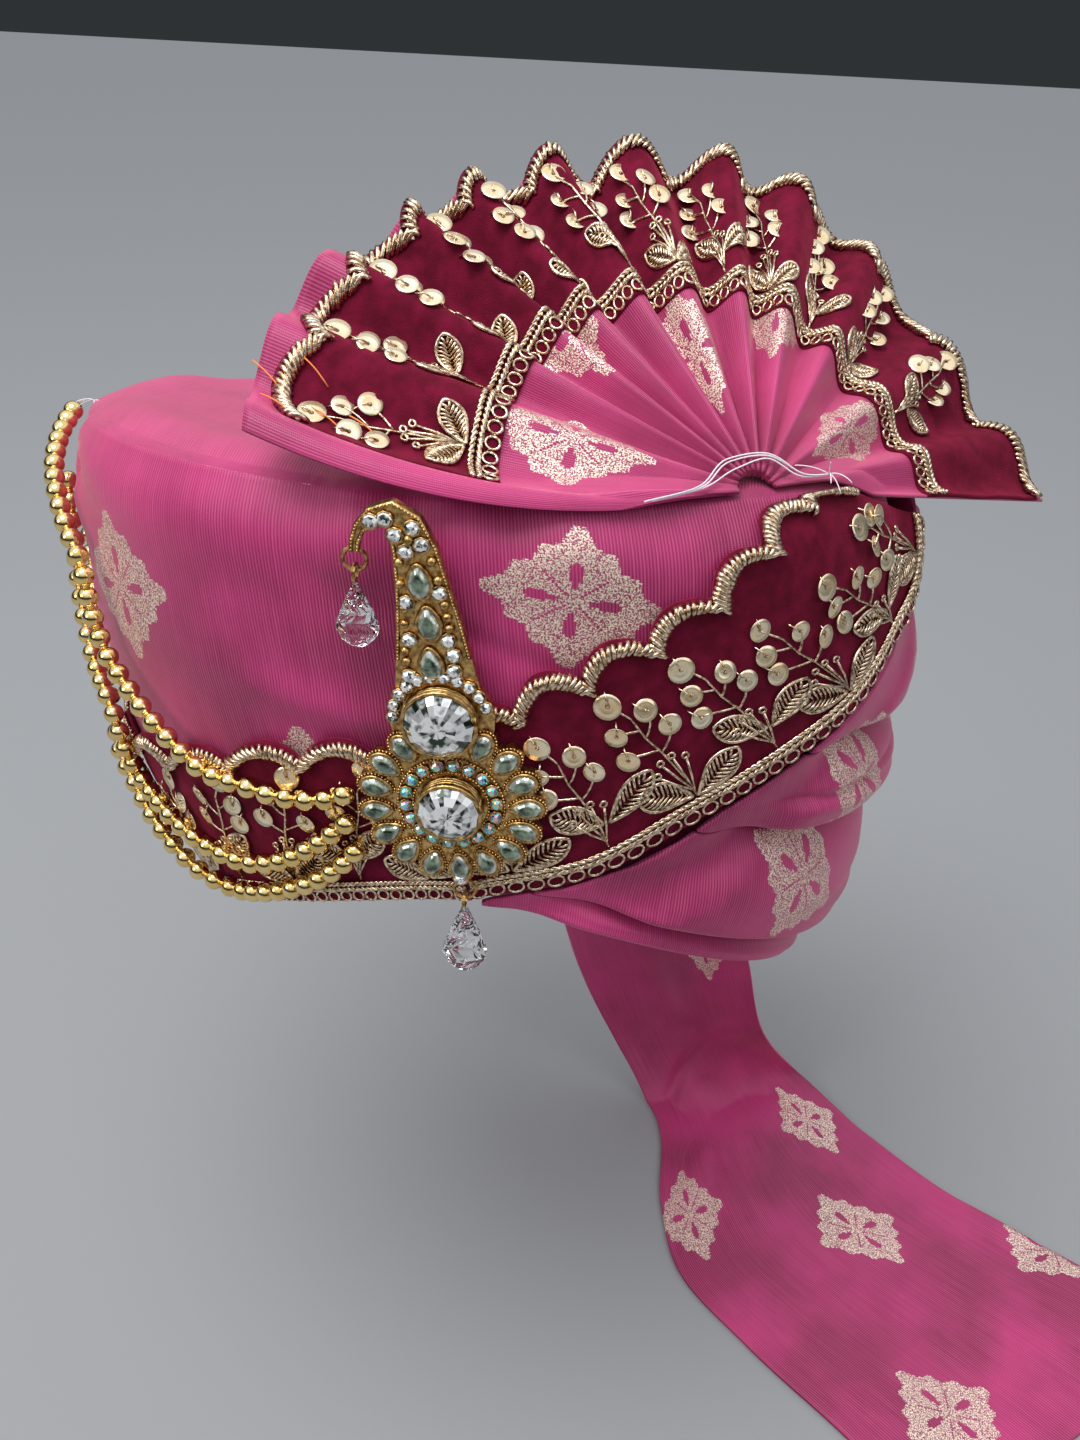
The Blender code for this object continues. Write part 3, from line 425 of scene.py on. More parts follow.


# Shot silk with woven motifs, with painted light in its colour: a painted sheen towards pale pink-gold at grazing
# angles, and painted highlights along its ribs, stronger on the slub streaks. Motif: a diamond |x| + |y| < 0.97 with
# lobed sides and cut tips, a drop-shaped opening on each half axis, thin slits between the petals, and edges that step
# from thread to thread
def brocadeFinish():
    mat, tree, shader = newFinish("brocade", {
        "Roughness": 0.40, "Sheen Weight": 0.13, "Sheen Roughness": 0.35, "Sheen Tint": (1.0, 0.36, 0.52, 1),
        "Specular IOR Level": 0.28,
    })
    weave, motif = (put(tree, "ShaderNodeUVMap", uv_map=name).outputs[0] for name in ("weave", "motif"))
    rib = bands(tree, weave, silk["ribPeriod"], "X", 0.6)
    weft = bands(tree, weave, silk["weftPeriod"], "Y", 0.4)
    streak = put(tree, "ShaderNodeMapping", {"Vector": weave, "Scale": (900.0, 30.0, 1.0)}).outputs[0]
    slub = grain(tree, 1.0, 2.0, streak)
    facing = put(tree, "ShaderNodeLayerWeight", {"Blend": 0.42}).outputs["Facing"]
    base = blendColour(tree, remap(tree, grain(tree, 26.0, 3.0), 0.35, 0.65), silk["deep"], silk["bright"])
    # Painted sheen: surfaces seen at grazing angles are painted towards the pale sheen colour
    paintedSheen = times(tree, remap(tree, facing, 0.30, 1.0), 0.38)
    # Painted highlights along the ribs, stronger on the slub streaks, towards the pale sheen colour
    paintedRibHighlight = times(tree, rib, plus(tree, 0.08, times(tree, slub, 0.36)))
    base = blendColour(tree, plus(tree, paintedSheen, paintedRibHighlight), base, silk["sheen"])

    # Step to the nearest thread, then fold to one quarter
    split = put(tree, "ShaderNodeSeparateXYZ", {0: motif})
    stepped = []
    for axis in (0, 1):
        cell = calc(tree, "FLOOR", times(tree, split.outputs[axis], motifShape["threads"]))
        stepped.append(calc(tree, "ABSOLUTE", calc(tree, "DIVIDE", plus(tree, cell, 0.5), motifShape["threads"])))
    x, y = stepped
    radius = calc(tree, "SQRT", plus(tree, times(tree, x, x), times(tree, y, y)))
    angle = calc(tree, "ARCTAN2", y, x)
    far, near = (calc(tree, choice, x, y) for choice in ("MAXIMUM", "MINIMUM"))
    lobes = times(tree, calc(tree, "COSINE", times(tree, angle, motifShape["lobes"])), -motifShape["lobeDepth"])
    edge = plus(tree, x, y, times(tree, radius, 0.02), lobes)
    outline = times(tree, below(tree, edge, motifShape["reach"]), below(tree, far, motifShape["tipCut"]))
    slit = calc(tree, "ABSOLUTE", calc(tree, "SINE", times(tree, angle, motifShape["slits"])))
    inSlit = below(tree, slit, calc(tree, "DIVIDE", motifShape["slitWidth"], plus(tree, radius, 0.05)))
    pastMiddle = calc(tree, "GREATER_THAN", radius, motifShape["slitFrom"])
    slits = times(tree, inSlit, pastMiddle, below(tree, radius, motifShape["slitTo"]))
    eyeAlong = calc(tree, "POWER", remap(tree, far, motifShape["eyeFrom"], motifShape["eyeTo"]), motifShape["eyeBend"])
    eyeWidth = times(tree, calc(tree, "SINE", times(tree, eyeAlong, pi)), motifShape["eyeWidth"])
    openings = calc(tree, "MAXIMUM", slits, below(tree, near, eyeWidth))
    woven = times(tree, outline, calc(tree, "SUBTRACT", 1.0, openings))
    speckle = remap(tree, grain(tree, 2300.0, 1.0), 0.40, 0.57)
    cover = times(tree, woven, plus(tree, 0.35, times(tree, speckle, 0.65)))
    zari = blendColour(tree, speckle, silk["zariDark"], silk["zari"])
    tree.links.new(blendColour(tree, cover, base, zari), shader.inputs["Base Color"])
    tree.links.new(times(tree, cover, 0.55), shader.inputs["Metallic"])
    relief = plus(tree, times(tree, rib, 0.5), times(tree, weft, 0.3), times(tree, cover, plus(tree, 0.5, speckle)))
    bumped(tree, shader, relief, 0.35, 0.00025)
    return mat


# Cut pile: dark wine with crushed patches, and a strong sheen at the edges of its folds
def velvetFinish():
    mat, tree, shader = newFinish("velvet", {
        "Roughness": 0.90, "Sheen Weight": 0.55, "Sheen Roughness": 0.35, "Sheen Tint": (0.85, 0.08, 0.17, 1),
        "Specular IOR Level": 0.15,
    })
    patch = remap(tree, grain(tree, 190.0, 4.0), 0.38, 0.66)
    colour = blendColour(tree, patch, (0.100, 0.0018, 0.014, 1), (0.170, 0.0040, 0.028, 1))
    tree.links.new(colour, shader.inputs["Base Color"])
    bumped(tree, shader, grain(tree, 2600.0, 3.0), 0.6, 0.0004)
    return mat


# Metal whose tone varies with noise between two colours, with a fine bump of three times its scale
def metalFinish(name, bright, dark, roughness, scale, bump=0.15, metallic=1.0):
    mat, tree, shader = newFinish(name, {"Metallic": metallic, "Roughness": roughness}, bright[:3])
    tone = remap(tree, grain(tree, scale, 4.0), 0.35, 0.62)
    tree.links.new(blendColour(tree, tone, dark, bright), shader.inputs["Base Color"])
    bumped(tree, shader, grain(tree, scale * 3.0, 2.0), bump, 0.0002)
    return mat


brocade = brocadeFinish()
velvet = velvetFinish()
goldThread = metalFinish("goldThread", (1.0, 0.82, 0.60, 1), (0.34, 0.20, 0.11, 1), 0.27, 900.0, 0.3)
sequinGold = metalFinish("sequinGold", (1.0, 0.88, 0.64, 1), (0.92, 0.69, 0.40, 1), 0.27, 160.0, 0.05, 0.80)
beadGold = metalFinish("beadGold", (0.95, 0.72, 0.32, 1), (0.84, 0.58, 0.20, 1), 0.13, 240.0, 0.04)
antiqueGold = metalFinish("antiqueGold", (0.74, 0.48, 0.18, 1), (0.26, 0.13, 0.04, 1), 0.30, 700.0, 0.25)
print("scene: finishes ready")

# Body of the turban
body = dict(
    columns=480, hollowRows=26, sideRows=92, topRows=36, uvRadius=0.125, motifSize=0.0235, motifTall=0.86,
    topSoftness=0.0007, topShift=3.0, foldLead=-9.0,
)
# Drawn cloth, in metres, radians and height shares: ripples, puckers under the fan's hem, creases from the knots
drawn = dict(
    softness=0.0006, pucker=0.0016, puckerAzimuth=0.12, puckerWidth=0.75, puckerReach=0.16, crease=0.0022,
    knotAzimuth=-1.25, creaseReach=0.42, creaseTurns=15.0,
)
# Slanting tugs: height share and azimuth of a point, slope, half width, middle and half length in azimuth, rise
drawnTugs = [(0.62, 0.3, 0.35, 0.035, 0.1, 0.35, -0.0009), (0.50, -0.2, 0.22, 0.05, -0.24, 0.22, 0.0018)]
# Motifs on the wound cloth: azimuth in degrees, height share, turn in degrees
motifPlaces = [
    (-45.1, 0.708, 4), (14.9, 0.81, -8), (-14.7, 1.15, 0), (-19.7, 0.31, 0), (-78.0, 0.40, 5), (-97.0, 0.78, 0),
    (51.3, 0.228, -20), (58.8, 0.438, -25), (82.0, 0.60, -10), (92.0, 0.24, -8), (112.0, 0.46, 0), (124.0, 0.86, 5),
    (136.0, 0.20, 0), (152.0, 0.64, 0), (176.0, 0.34, 0), (186.0, 0.88, 0), (206.0, 0.60, 0), (224.0, 0.22, 0),
    (232.0, 0.86, 0), (248.0, 0.52, 0),
]
# Motifs on the crown's top: place in metres, turn in degrees
topMotifs = [(0.03, -0.01, 8), (-0.06, 0.03, 0), (0.0, 0.09, 0), (0.07, 0.07, 5)]
# Rise of the crown towards its middle: share of the way out, share of the ridge's roll
topRise = [(0.0, 0.0), (0.40, 0.0), (0.74, 0.9), (0.93, 1.0), (1.0, 0.0)]


# Cloth coordinates in metres: azimuth and height share times a mean radius
def clothCoordinates(azimuth, share):
    return paired(azimuth, share) * body["uvRadius"]


def motifCentres(places):
    return [(math.radians(a) * body["uvRadius"], s * body["uvRadius"], t) for a, s, t in places]


# Relief of the drawn cloth: ripples, bells times sines for the puckers and creases, and two bells for each tug
def bodyRelief(azimuth, share):
    total = ripples(azimuth, share, 3, 8, 1.5, 5.0) * drawn["softness"]
    near = bell((1.0 - share) / drawn["puckerReach"]) * bell((azimuth - drawn["puckerAzimuth"]) / drawn["puckerWidth"])
    total = total + near * np.sin(azimuth * 21.0 + 2.2 * np.sin(azimuth * 5.0)) * drawn["pucker"]
    aside = (azimuth - drawn["knotAzimuth"]) * 1.3
    fromKnot, way = np.hypot(aside, share - 1.0), np.arctan2(1.0 - share, aside)
    crease = bell(fromKnot / drawn["creaseReach"]) * np.sin(way * drawn["creaseTurns"]) * ease(fromKnot / 0.1)
    total = total + crease * drawn["crease"]
    for place, at, slope, wide, middle, reach, rise in drawnTugs:
        total = total + rise * bell((share - place + slope * (azimuth - at)) / wide) * bell((azimuth - middle) / reach)
    return total


# One closed surface: head dome from its crown to the rim, the flared side, and the crown's top to its middle
def makeBody():
    azimuth = np.arange(body["columns"] + 1) * 2 * pi / body["columns"]
    signed = np.where(azimuth > math.radians(300.0), azimuth - 2 * pi, azimuth)
    reach = planReach(azimuth)
    rise = np.radians(np.linspace(90.0, 0.0, body["hollowRows"]))[:, None]
    x = form["headWidth"] * np.sin(azimuth) * reach * np.cos(rise)
    y = -form["headDepth"] * np.cos(azimuth) * reach * np.cos(rise)
    z = rimHeight(azimuth) * (1.0 - np.sin(rise)) + form["domeHeight"] * np.sin(rise)
    hollow = np.stack([x, y, z], axis=-1)
    share = np.linspace(0.0, 1.0, body["sideRows"])[:, None]
    zone = foldZone(azimuth, share, math.radians(body["foldLead"]))
    relief = bodyRelief(signed, share) * (1.0 - zone) * ease(share / 0.08)
    side = onBody(azimuth, share, relief - seatDepth(share) * zone)
    ridge = side[-1]
    middle = ridge[:-1].mean(axis=0)
    out = np.linspace(1.0, 0.0, body["topRows"])[1:, None]
    top = middle + (ridge - middle)[None] * out[..., None]
    top[..., 2] += form["ridgeRoll"] * through(topRise, 1, out)
    soft = ripples(top[..., 0] * 40, top[..., 1] * 40, 5, 6) * body["topSoftness"]
    top[..., 2] += soft * ease((1 - out) / 0.2) * ease(out / 0.1)
    points = leaned(np.concatenate([hollow, side, top]))
    faces = gridFaces(len(points), len(azimuth))[:, ::-1]
    around = clothCoordinates(np.broadcast_to(azimuth, hollow.shape[:2]), -np.degrees(rise) / 90.0 * 0.9)
    weave = np.concatenate([around, clothCoordinates(azimuth, share), top[..., :2] + body["topShift"]])
    centres = motifCentres(motifPlaces + [(a + 360.0, s, t) for a, s, t in motifPlaces if a < 0])
    centres += [(body["topShift"] + a, body["topShift"] + b, t) for a, b, t in topMotifs]
    uvs = clothMaps(weave, faces, centres, body["motifSize"], body["motifTall"])
    piece = reworked(meshPiece("clothBody", points, faces, brocade, uvs), weldSeams)
    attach(piece, "turban")
    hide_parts("turban_body")


makeBody()
print("scene: body made")

# Wound folds: node, height share of the lower edge at the side and at the back, sway, bulge
foldRows = [
    ("rim_fold", 0.004, 0.004, 0.000, 0.45), ("low_wrap", 0.070, 0.065, 0.006, 1.00),
    ("middle_wrap", 0.340, 0.320, 0.034, 0.92), ("high_wrap", 0.515, 0.550, 0.016, 1.00),
    ("top_wrap", 0.800, 0.780, 0.010, 0.85), ("ridge", 0.990, 0.990, 0.000, 0.00),
]
foldSection = [(0.0, 0.12), (0.08, 0.72), (0.24, 1.0), (0.52, 0.98), (0.80, 0.62), (1.0, 0.04)]
fold = dict(
    columns=260, rows=36, innerRows=7, bulge=0.0112, wall=0.0012, thinnest=0.6, clearance=0.0010, gap=0.0007,
    inset=2.0, taperStart=0.07, taperEnd=0.10, fine=0.00055, crease=0.0019, creaseWidth=0.055, creasedFrom=0.12,
    motifTall=0.87,
)
# Creases along a tall fold: height share of the line, its sway, and its depth as a share
foldCreases = [(0.62, 0.16, 1.0), (0.34, 0.12, 0.55)]


# Height share of a fold's lower edge, which sways over the side: s + (b - s) ease + w cos
def foldEdge(row, azimuth):
    backShare = ease((azimuth - math.radians(60.0)) / math.radians(120.0))
    wave = -np.cos((azimuth - math.radians(41.0)) * 4.0) * (1.0 - ease((azimuth - math.radians(86.0)) / 0.7))
    return row[1] + (row[2] - row[1]) * backShare + row[3] * wave


# A fold's closed section carried round the body: bulge by the section table, less creases that wander lengthwise
def makeFold(number, row, nextRow):
    along = np.linspace(0.0, 1.0, fold["columns"])[:, None]
    height = np.concatenate([np.linspace(0.0, 1.0, fold["rows"]), np.linspace(1.0, 0.0, fold["innerRows"])])[None, :]
    isInner = np.arange(height.size)[None, :] >= fold["rows"]
    margin = fold["gap"] / 2.0 / form["height"]
    azimuth = np.full((fold["columns"], height.shape[1]), math.radians(50.0))
    end = math.radians(form["foldEnd"] - fold["inset"])
    for _ in range(5):
        low = foldEdge(row, azimuth) + margin
        high = foldEdge(nextRow, azimuth) - margin
        share = low + (high - low) * height
        start = foldStart(share) + math.radians(fold["inset"])
        azimuth = start + (end - start) * along
    zone = foldZone(azimuth, share, math.radians(fold["inset"]))
    inner = fold["clearance"] - seatDepth(share) * zone
    taper = ease(along / fold["taperStart"]) * ease((1.0 - along) / fold["taperEnd"])
    bulge = fold["bulge"] * row[4] * through(foldSection, 1, height)
    creases = np.zeros_like(share)
    tall = (nextRow[1] - row[1]) > fold["creasedFrom"]
    for k, (place, sway, depth) in enumerate(foldCreases if tall else ()):
        line = place + sway * np.sin(azimuth * (2.1 + 0.6 * k) + number * 1.7 + 2.0 * k)
        fade = 0.45 + 0.55 * np.sin(azimuth * 2.7 + number * 2.3 + k)
        creases = creases + bell((height - line) / fold["creaseWidth"]) * fold["crease"] * depth * fade
    fine = ripples(azimuth * 1.4, height * 9.0 + azimuth * 2.0, 20 + number, 8, 0.6, 2.6) * fold["fine"]
    outer = inner + fold["wall"] + (bulge - creases + fine) * taper
    outer = np.maximum(outer, inner + fold["wall"] * fold["thinnest"])
    points = leaned(onBody(azimuth, share, np.where(isInner, inner, outer)))
    faces = gridFaces(*points.shape[:2], wrapColumns=True)
    motifTall = body["motifTall"] * fold["motifTall"]
    uvs = clothMaps(clothCoordinates(azimuth, share), faces, motifCentres(motifPlaces), body["motifSize"], motifTall)
    piece = reworked(meshPiece("fold_" + row[0], points, faces, brocade, uvs), closeEnds)
    piece.data.shade_smooth()
    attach(piece, "turban")
    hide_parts(row[0])


for number, (row, nextRow) in enumerate(zip(foldRows, foldRows[1:])):
    makeFold(number, row, nextRow)
print("scene: wound folds made")

# Fan: metres and degrees
fan = dict(
    radius=0.1295, neck=0.006, footAzimuth=37.7, footRise=0.0019, heading=28.5, slope=27.0, start=-73.5, end=75.5,
    hemSag=0.0146, hemWidth=0.09, hemLift=0.0012, droop=0.048, droopFrom=0.62, restGap=0.0024, ridgeTurn=0.010,
    pleats=12, depth=0.0065, trimWidth=0.058, trimInset=0.004, trimLift=0.0016, trimStart=0.03, rimCut=0.0085,
    spreadSteps=480, radiusSteps=60, wall=0.0009,
)
# Motifs on the fan's cloth: metres across and out, turn in degrees
fanMotifs = [(0.04, 0.05, 0), (0.115, 0.066, 0), (0.20, 0.048, 0), (0.27, 0.070, 0), (0.345, 0.05, 0)]


# Middle direction of the fan, its right-hand direction, and the way its face looks
def fanAxes():
    heading, slope = math.radians(fan["heading"]), math.radians(fan["slope"])
    middle = np.array([
        -math.sin(heading) * math.cos(slope), math.cos(heading) * math.cos(slope), math.sin(slope),
    ])
    across = np.array([math.cos(heading), math.sin(heading), 0.0])
    return middle, across, np.cross(across, middle)


fanMiddle, fanAcross, fanFace = fanAxes()
fanFoot = leaned(bodyPoint(math.radians(fan["footAzimuth"]), 1.0)) + skyward * fan["footRise"]


# Rise that lays a point of the fan on the body's top: the ridge's height, its roll inside and its turn outside
def fanRest(point):
    turn = math.radians(form["lean"])
    y = point[..., 1] * math.cos(turn) - point[..., 2] * math.sin(turn)
    z = point[..., 2] * math.cos(turn) + point[..., 1] * math.sin(turn)
    side, front, back = bodyProfile[-1][1:4]
    x = (point[..., 0] + form["sideLean"]) / (form["rimWidth"] + form["flareSide"] * side)
    depths = form["rimFront"] + form["flareFront"] * front, form["rimBack"] + form["flareBack"] * back
    y = y / np.where(y < 0.0, depths[0], depths[1])
    reach = (np.abs(x) ** form["planPower"] + np.abs(y) ** form["planPower"]) ** (1.0 / form["planPower"])
    inner = np.clip((1.0 - reach) / 0.07, 0.0, 1.0)
    outer = np.clip((reach - 1.0) / 0.045, 0.0, 1.0)
    ridge = form["height"] + form["ridgeRise"] * np.sin(np.arctan2(x, -y)) ** 2
    top = ridge + form["ridgeRoll"] * inner - fan["ridgeTurn"] * outer
    return np.where(outer < 1.0, np.maximum(top + fan["restGap"] - z, 0.0), 0.0)


# Pleated fan: foot + r (cos a middle + sin a across) + face pleat(a) r / R, with a sagging hem and a drooping right end
def fanPoint(spread, radius, lift):
    spread, radius, lift = np.broadcast_arrays(np.asarray(spread, float), np.asarray(radius, float), lift)
    angle = np.radians(fan["start"] + (fan["end"] - fan["start"]) * spread)
    out = radius / fan["radius"]
    hem = bell(spread / fan["hemWidth"])
    drop = ease((spread - fan["droopFrom"]) / (1.0 - fan["droopFrom"]))
    swell = 0.30 + 0.70 * np.sin(pi * np.clip(spread, 0, 1)) ** 0.6
    wander = 0.35 * np.sin(spread * 17.0 + 1.0) + 0.2 * np.sin(spread * 41.0)
    phase = spread * fan["pleats"] * 2 * pi + wander
    sharp = np.arcsin(0.985 * np.sin(phase)) / math.asin(0.985)
    soft = np.sin(phase) * 1.02
    pleat = (sharp + (soft - sharp) * ease((out - 0.15) / 0.4)) * fan["depth"] * swell * out**0.55
    cos, sin = np.cos(angle)[..., None], np.sin(angle)[..., None]
    point = fanFoot + (cos * fanMiddle + sin * fanAcross) * radius[..., None]
    sideways = cos * fanAcross - sin * fanMiddle
    point = point - sideways * (fan["hemSag"] * hem * 4.0 * out * (1.0 - out))[..., None]
    point = point + fanFace * pleat[..., None]
    point[..., 2] -= fan["droop"] * drop * out
    point[..., 2] += fanRest(point)
    return point + fanFace * lift[..., None]


# Thin sheet from a grid, given its thickness by a Solidify modifier
def sheetPiece(name, points, mat, weave, centres, motifSize, wall, tall=1.0):
    faces = gridFaces(*points.shape[:2])
    piece = meshPiece(name, points, faces, mat, clothMaps(weave, faces, centres, motifSize, tall))
    thick = piece.modifiers.new("wall", "SOLIDIFY")
    thick.thickness = wall
    thick.offset = 0.0
    thick.use_even_offset = False
    return piece


# Area of a grid's quads, as the cross product of their diagonals
def gridArea(points):
    first = points[1:, 1:] - points[:-1, :-1]
    second = points[1:, :-1] - points[:-1, 1:]
    return float(np.linalg.norm(np.cross(first, second), axis=-1).sum() / 2)


# The fan's cloth as a grid of its flat coordinates; all but its left part is cut back under the velvet, and its left
# hem lies over the velvet's end
def makeFanCloth():
    spread = np.linspace(0.0, 1.0, fan["spreadSteps"])[:, None]
    share = np.linspace(0.0, 1.0, fan["radiusSteps"])[None, :]
    reach = fan["radius"] + 0.002 - fan["rimCut"] * ease((spread - 0.16) / 0.12)
    radius = fan["neck"] + (reach - fan["neck"]) * share
    hem = fan["hemLift"] * (1.0 - ease((spread - 0.026) / 0.005)) * ease(share / 0.2)
    points = fanPoint(spread, radius, hem)
    weave = paired(spread * 0.40, radius)
    piece = sheetPiece("fanCloth", points, brocade, weave, fanMotifs, body["motifSize"], fan["wall"])
    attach(piece, "turban")
    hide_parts("fan_cloth")


makeFanCloth()

# Loose tail: edges in metres below the rim, the edge by the neck first; None lies on the surface
tail = dict(
    floor=-0.2480, wall=0.0012, solidWall=0.0018, width=0.122, length=0.43, rows=260, columns=72, seatGap=0.0011,
    rimFrom=176.0, rimTo=124.0, ripple=0.0022, wrinkle=0.0021, longWrinkle=0.0013, hemRoll=0.0030, hemRollWidth=0.035,
    creaseGain=1.3, motifScale=0.78, motifTall=1.42,
)
tailRoute = [
    ((0.002, 0.101, -0.110), (0.088, 0.080, -0.100)), ((0.014, 0.102, -0.165), (0.098, 0.084, -0.155)),
    ((0.040, 0.094, -0.222), (0.112, 0.092, -0.207)), ((0.064, 0.068, None), (0.134, 0.102, -0.240)),
    ((0.069, 0.020, None), (0.165, 0.075, None)), ((0.078, -0.014, None), (0.198, 0.047, None)),
    ((0.108, -0.047, None), (0.232, 0.026, None)), ((0.148, -0.082, None), (0.268, 0.006, None)),
    ((0.184, -0.116, None), (0.304, -0.016, None)),
]
# Creases: place as shares along and across, half length, turn, half width and depth
tailCreases = [
    ((0.45, 0.30), 0.030, 0.5, 0.0040, 0.0034), ((0.56, 0.62), 0.024, 0.9, 0.0036, 0.0030),
    ((0.62, 0.28), 0.030, 0.9, 0.0034, 0.0030), ((0.76, 0.55), 0.034, 0.5, 0.0034, 0.0030),
    ((0.84, 0.80), 0.022, 0.3, 0.0030, 0.0024), ((0.92, 0.35), 0.030, 0.8, 0.0036, 0.0026),
]
# Motifs on the lying part, by place on the floor, after two by place on the cloth
tailMotifs = [(0.158, 0.017), (0.083, 0.015), (0.189, -0.067), (0.251, 0.027), (0.137, 0.078)]


# Middle line between the underside of the wall's outer and inner edge, all round the rim
def rimMiddle(azimuth):
    outer = onBody(azimuth, 0.0, np.full(np.shape(azimuth), -form["foldSeatRim"]))
    reach = planReach(azimuth)
    inner = np.stack([
        form["headWidth"] * np.sin(azimuth) * reach, -form["headDepth"] * np.cos(azimuth) * reach, rimHeight(azimuth),
    ], axis=-1)
    return leaned((outer + inner) / 2)


# Ruled sheet between two smooth edges, bowed to the rim at its top, with ripples (1 - cos), wrinkles, a rolled hem
# along one edge and crossing creases, all along its normal
def makeTail():
    floorLevel = tail["floor"] + tail["solidWall"] / 2 + 0.0001
    corners = rimMiddle(np.radians([tail["rimFrom"], tail["rimTo"]])) - skyward * tail["seatGap"]
    edges = [[corners[0]], [corners[1]]]
    for row in tailRoute:
        for side in (0, 1):
            x, y, z = row[side]
            edges[side].append((x, y, floorLevel if z is None else z))
    along = np.linspace(0.0, 1.0, tail["rows"])
    near, nearLength = alongCurve(edges[0], along)
    far, farLength = alongCurve(edges[1], along)
    across = np.linspace(0.0, 1.0, tail["columns"])
    middle = near[:, None, :] + (far - near)[:, None, :] * across[None, :, None]
    rimAzimuth = np.radians(tail["rimFrom"] + (tail["rimTo"] - tail["rimFrom"]) * across)
    rimLine = rimMiddle(rimAzimuth) - skyward * tail["seatGap"]
    middle = middle + (rimLine - middle[0])[None] * (1.0 - ease(along / 0.3))[:, None, None]
    normal = unit(np.cross(np.gradient(middle, axis=1), np.gradient(middle, axis=0)))
    a, b = along[:, None], across[None, :]
    lying = ease((a - 0.5) / 0.1)
    ripple = tail["ripple"] * (1 - np.cos(2 * pi * (b * 1.5 + a * 3.0))) * ease(a / 0.2) * (1 - 0.6 * lying)
    wrinkle = ripples(a * 16.0, b * 5.0, 41, 9, 0.6, 2.4) * tail["wrinkle"] * ease(a / 0.1)
    long = ripples(a * 3.0, b * 13.0 + a * 5.0, 43, 7, 0.6, 1.8) * tail["longWrinkle"] * ease(a / 0.1)
    roll = bell(b / tail["hemRollWidth"]) * tail["hemRoll"] * ease((a - 0.35) / 0.2)
    for place, reach, turn, wide, deep in tailCreases:
        ahead, aside = (a - place[0]) * tail["length"], (b - place[1]) * tail["width"]
        way = ahead * math.cos(turn) + aside * math.sin(turn)
        off = aside * math.cos(turn) - ahead * math.sin(turn)
        roll = roll + tail["creaseGain"] * deep * bell(way / wide) * bell(off / reach) * ease(a / 0.15)
    middle = middle + normal * (ripple + wrinkle + long + roll)[..., None]
    middle[..., 2] = np.maximum(middle[..., 2], floorLevel)
    width = tail["width"]
    length = (nearLength + farLength) / 2
    weave = paired(b * width, a * length)
    centres = [(0.035, 0.06, 0), (0.095, 0.105, 0)]
    for x, y in tailMotifs:
        gap = np.hypot(middle[..., 0] - x, middle[..., 1] - y) + 0.4 * (a < 0.42)
        i, j = np.unravel_index(gap.argmin(), gap.shape)
        centres.append((*weave[i, j], 0))
    size = body["motifSize"] * tail["motifScale"]
    piece = sheetPiece("tailCloth", middle, brocade, weave, centres, size, tail["wall"], tail["motifTall"])
    area = gridArea(middle)
    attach(piece, "turban")
    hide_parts("tail_cloth")
    print("scene: tail", round(length, 3), "area", round(area, 4), "of", round(width * length, 4))


makeTail()

# Velvet arms: share of the run, azimuth and height share of the lower edge, then of the scallops' feet
armRows = dict(
    left=[
        (0.00, -0.4, 0.020, -0.4, 0.400), (0.25, -23.0, 0.015, -20.0, 0.375), (0.50, -48.0, 0.015, -44.0, 0.330),
        (0.75, -72.0, 0.020, -69.0, 0.350), (1.00, -96.0, 0.030, -94.0, 0.380),
    ],
    right=[
        (0.000, 0.4, 0.020, 0.4, 0.430), (0.171, 17.0, 0.150, 9.5, 0.560), (0.343, 30.0, 0.345, 19.0, 0.665),
        (0.514, 42.0, 0.490, 28.0, 0.775), (0.686, 56.0, 0.625, 36.0, 0.890), (0.857, 66.5, 0.770, 43.5, 0.975),
        (1.000, 67.0, 0.910, 52.0, 0.985),
    ],
)
trim = dict(
    clearance=0.0009, wall=0.0016, scallopDepth=0.0075, scallopPower=0.62, edgeOver=0.0016, pile=0.0004,
    sheetWall=0.0011, leftScallops=8, rightScallops=7, fanScallops=13, highest=0.993, endLift=0.0030, columns=260,
    fanColumns=620, rows=26,
)


# One arm: share of the run and share of the width to a point on the body, raised by a lift, and more over the fan's
# foot at its end
def armPlace(rows, run, across, lift):
    run, across, lift = np.broadcast_arrays(run, across, lift)
    azimuth = np.radians(through(rows, 1, run) + (through(rows, 3, run) - through(rows, 1, run)) * across)
    share = through(rows, 2, run) + (through(rows, 4, run) - through(rows, 2, run)) * across
    share = np.minimum(share, trim["highest"])
    over = trim["endLift"] * ease((azimuth - 1.05) / 0.12)
    return leaned(onBody(azimuth, share, trim["clearance"] + trim["wall"] + over + lift))


# A band of trim: its length, number of scallops and the rule that lays flat coordinates (s, w) on its carrier
def armBand(name, rows, scallops):
    steps = np.linspace(0.0, 1.0, 60)
    length = lengthsTo(armPlace(rows, steps, 0.5, 0.0))[-1]
    samples = np.linspace(0.0, 1.0, 40)
    low, high = armPlace(rows, samples, 0.0, 0.0), armPlace(rows, samples, 1.0, 0.0)
    widths = np.linalg.norm(high - low, axis=-1)

    def place(s, w, lift):
        run = np.clip(np.asarray(s) / length, 0.0, 1.0)
        return armPlace(rows, run, np.asarray(w) / np.interp(run, samples, widths), lift)

    def foot(s):
        return np.interp(np.asarray(s) / length, samples, widths)

    return dict(name=name, squeeze=1.0, length=length, scallops=scallops, place=place, foot=foot)


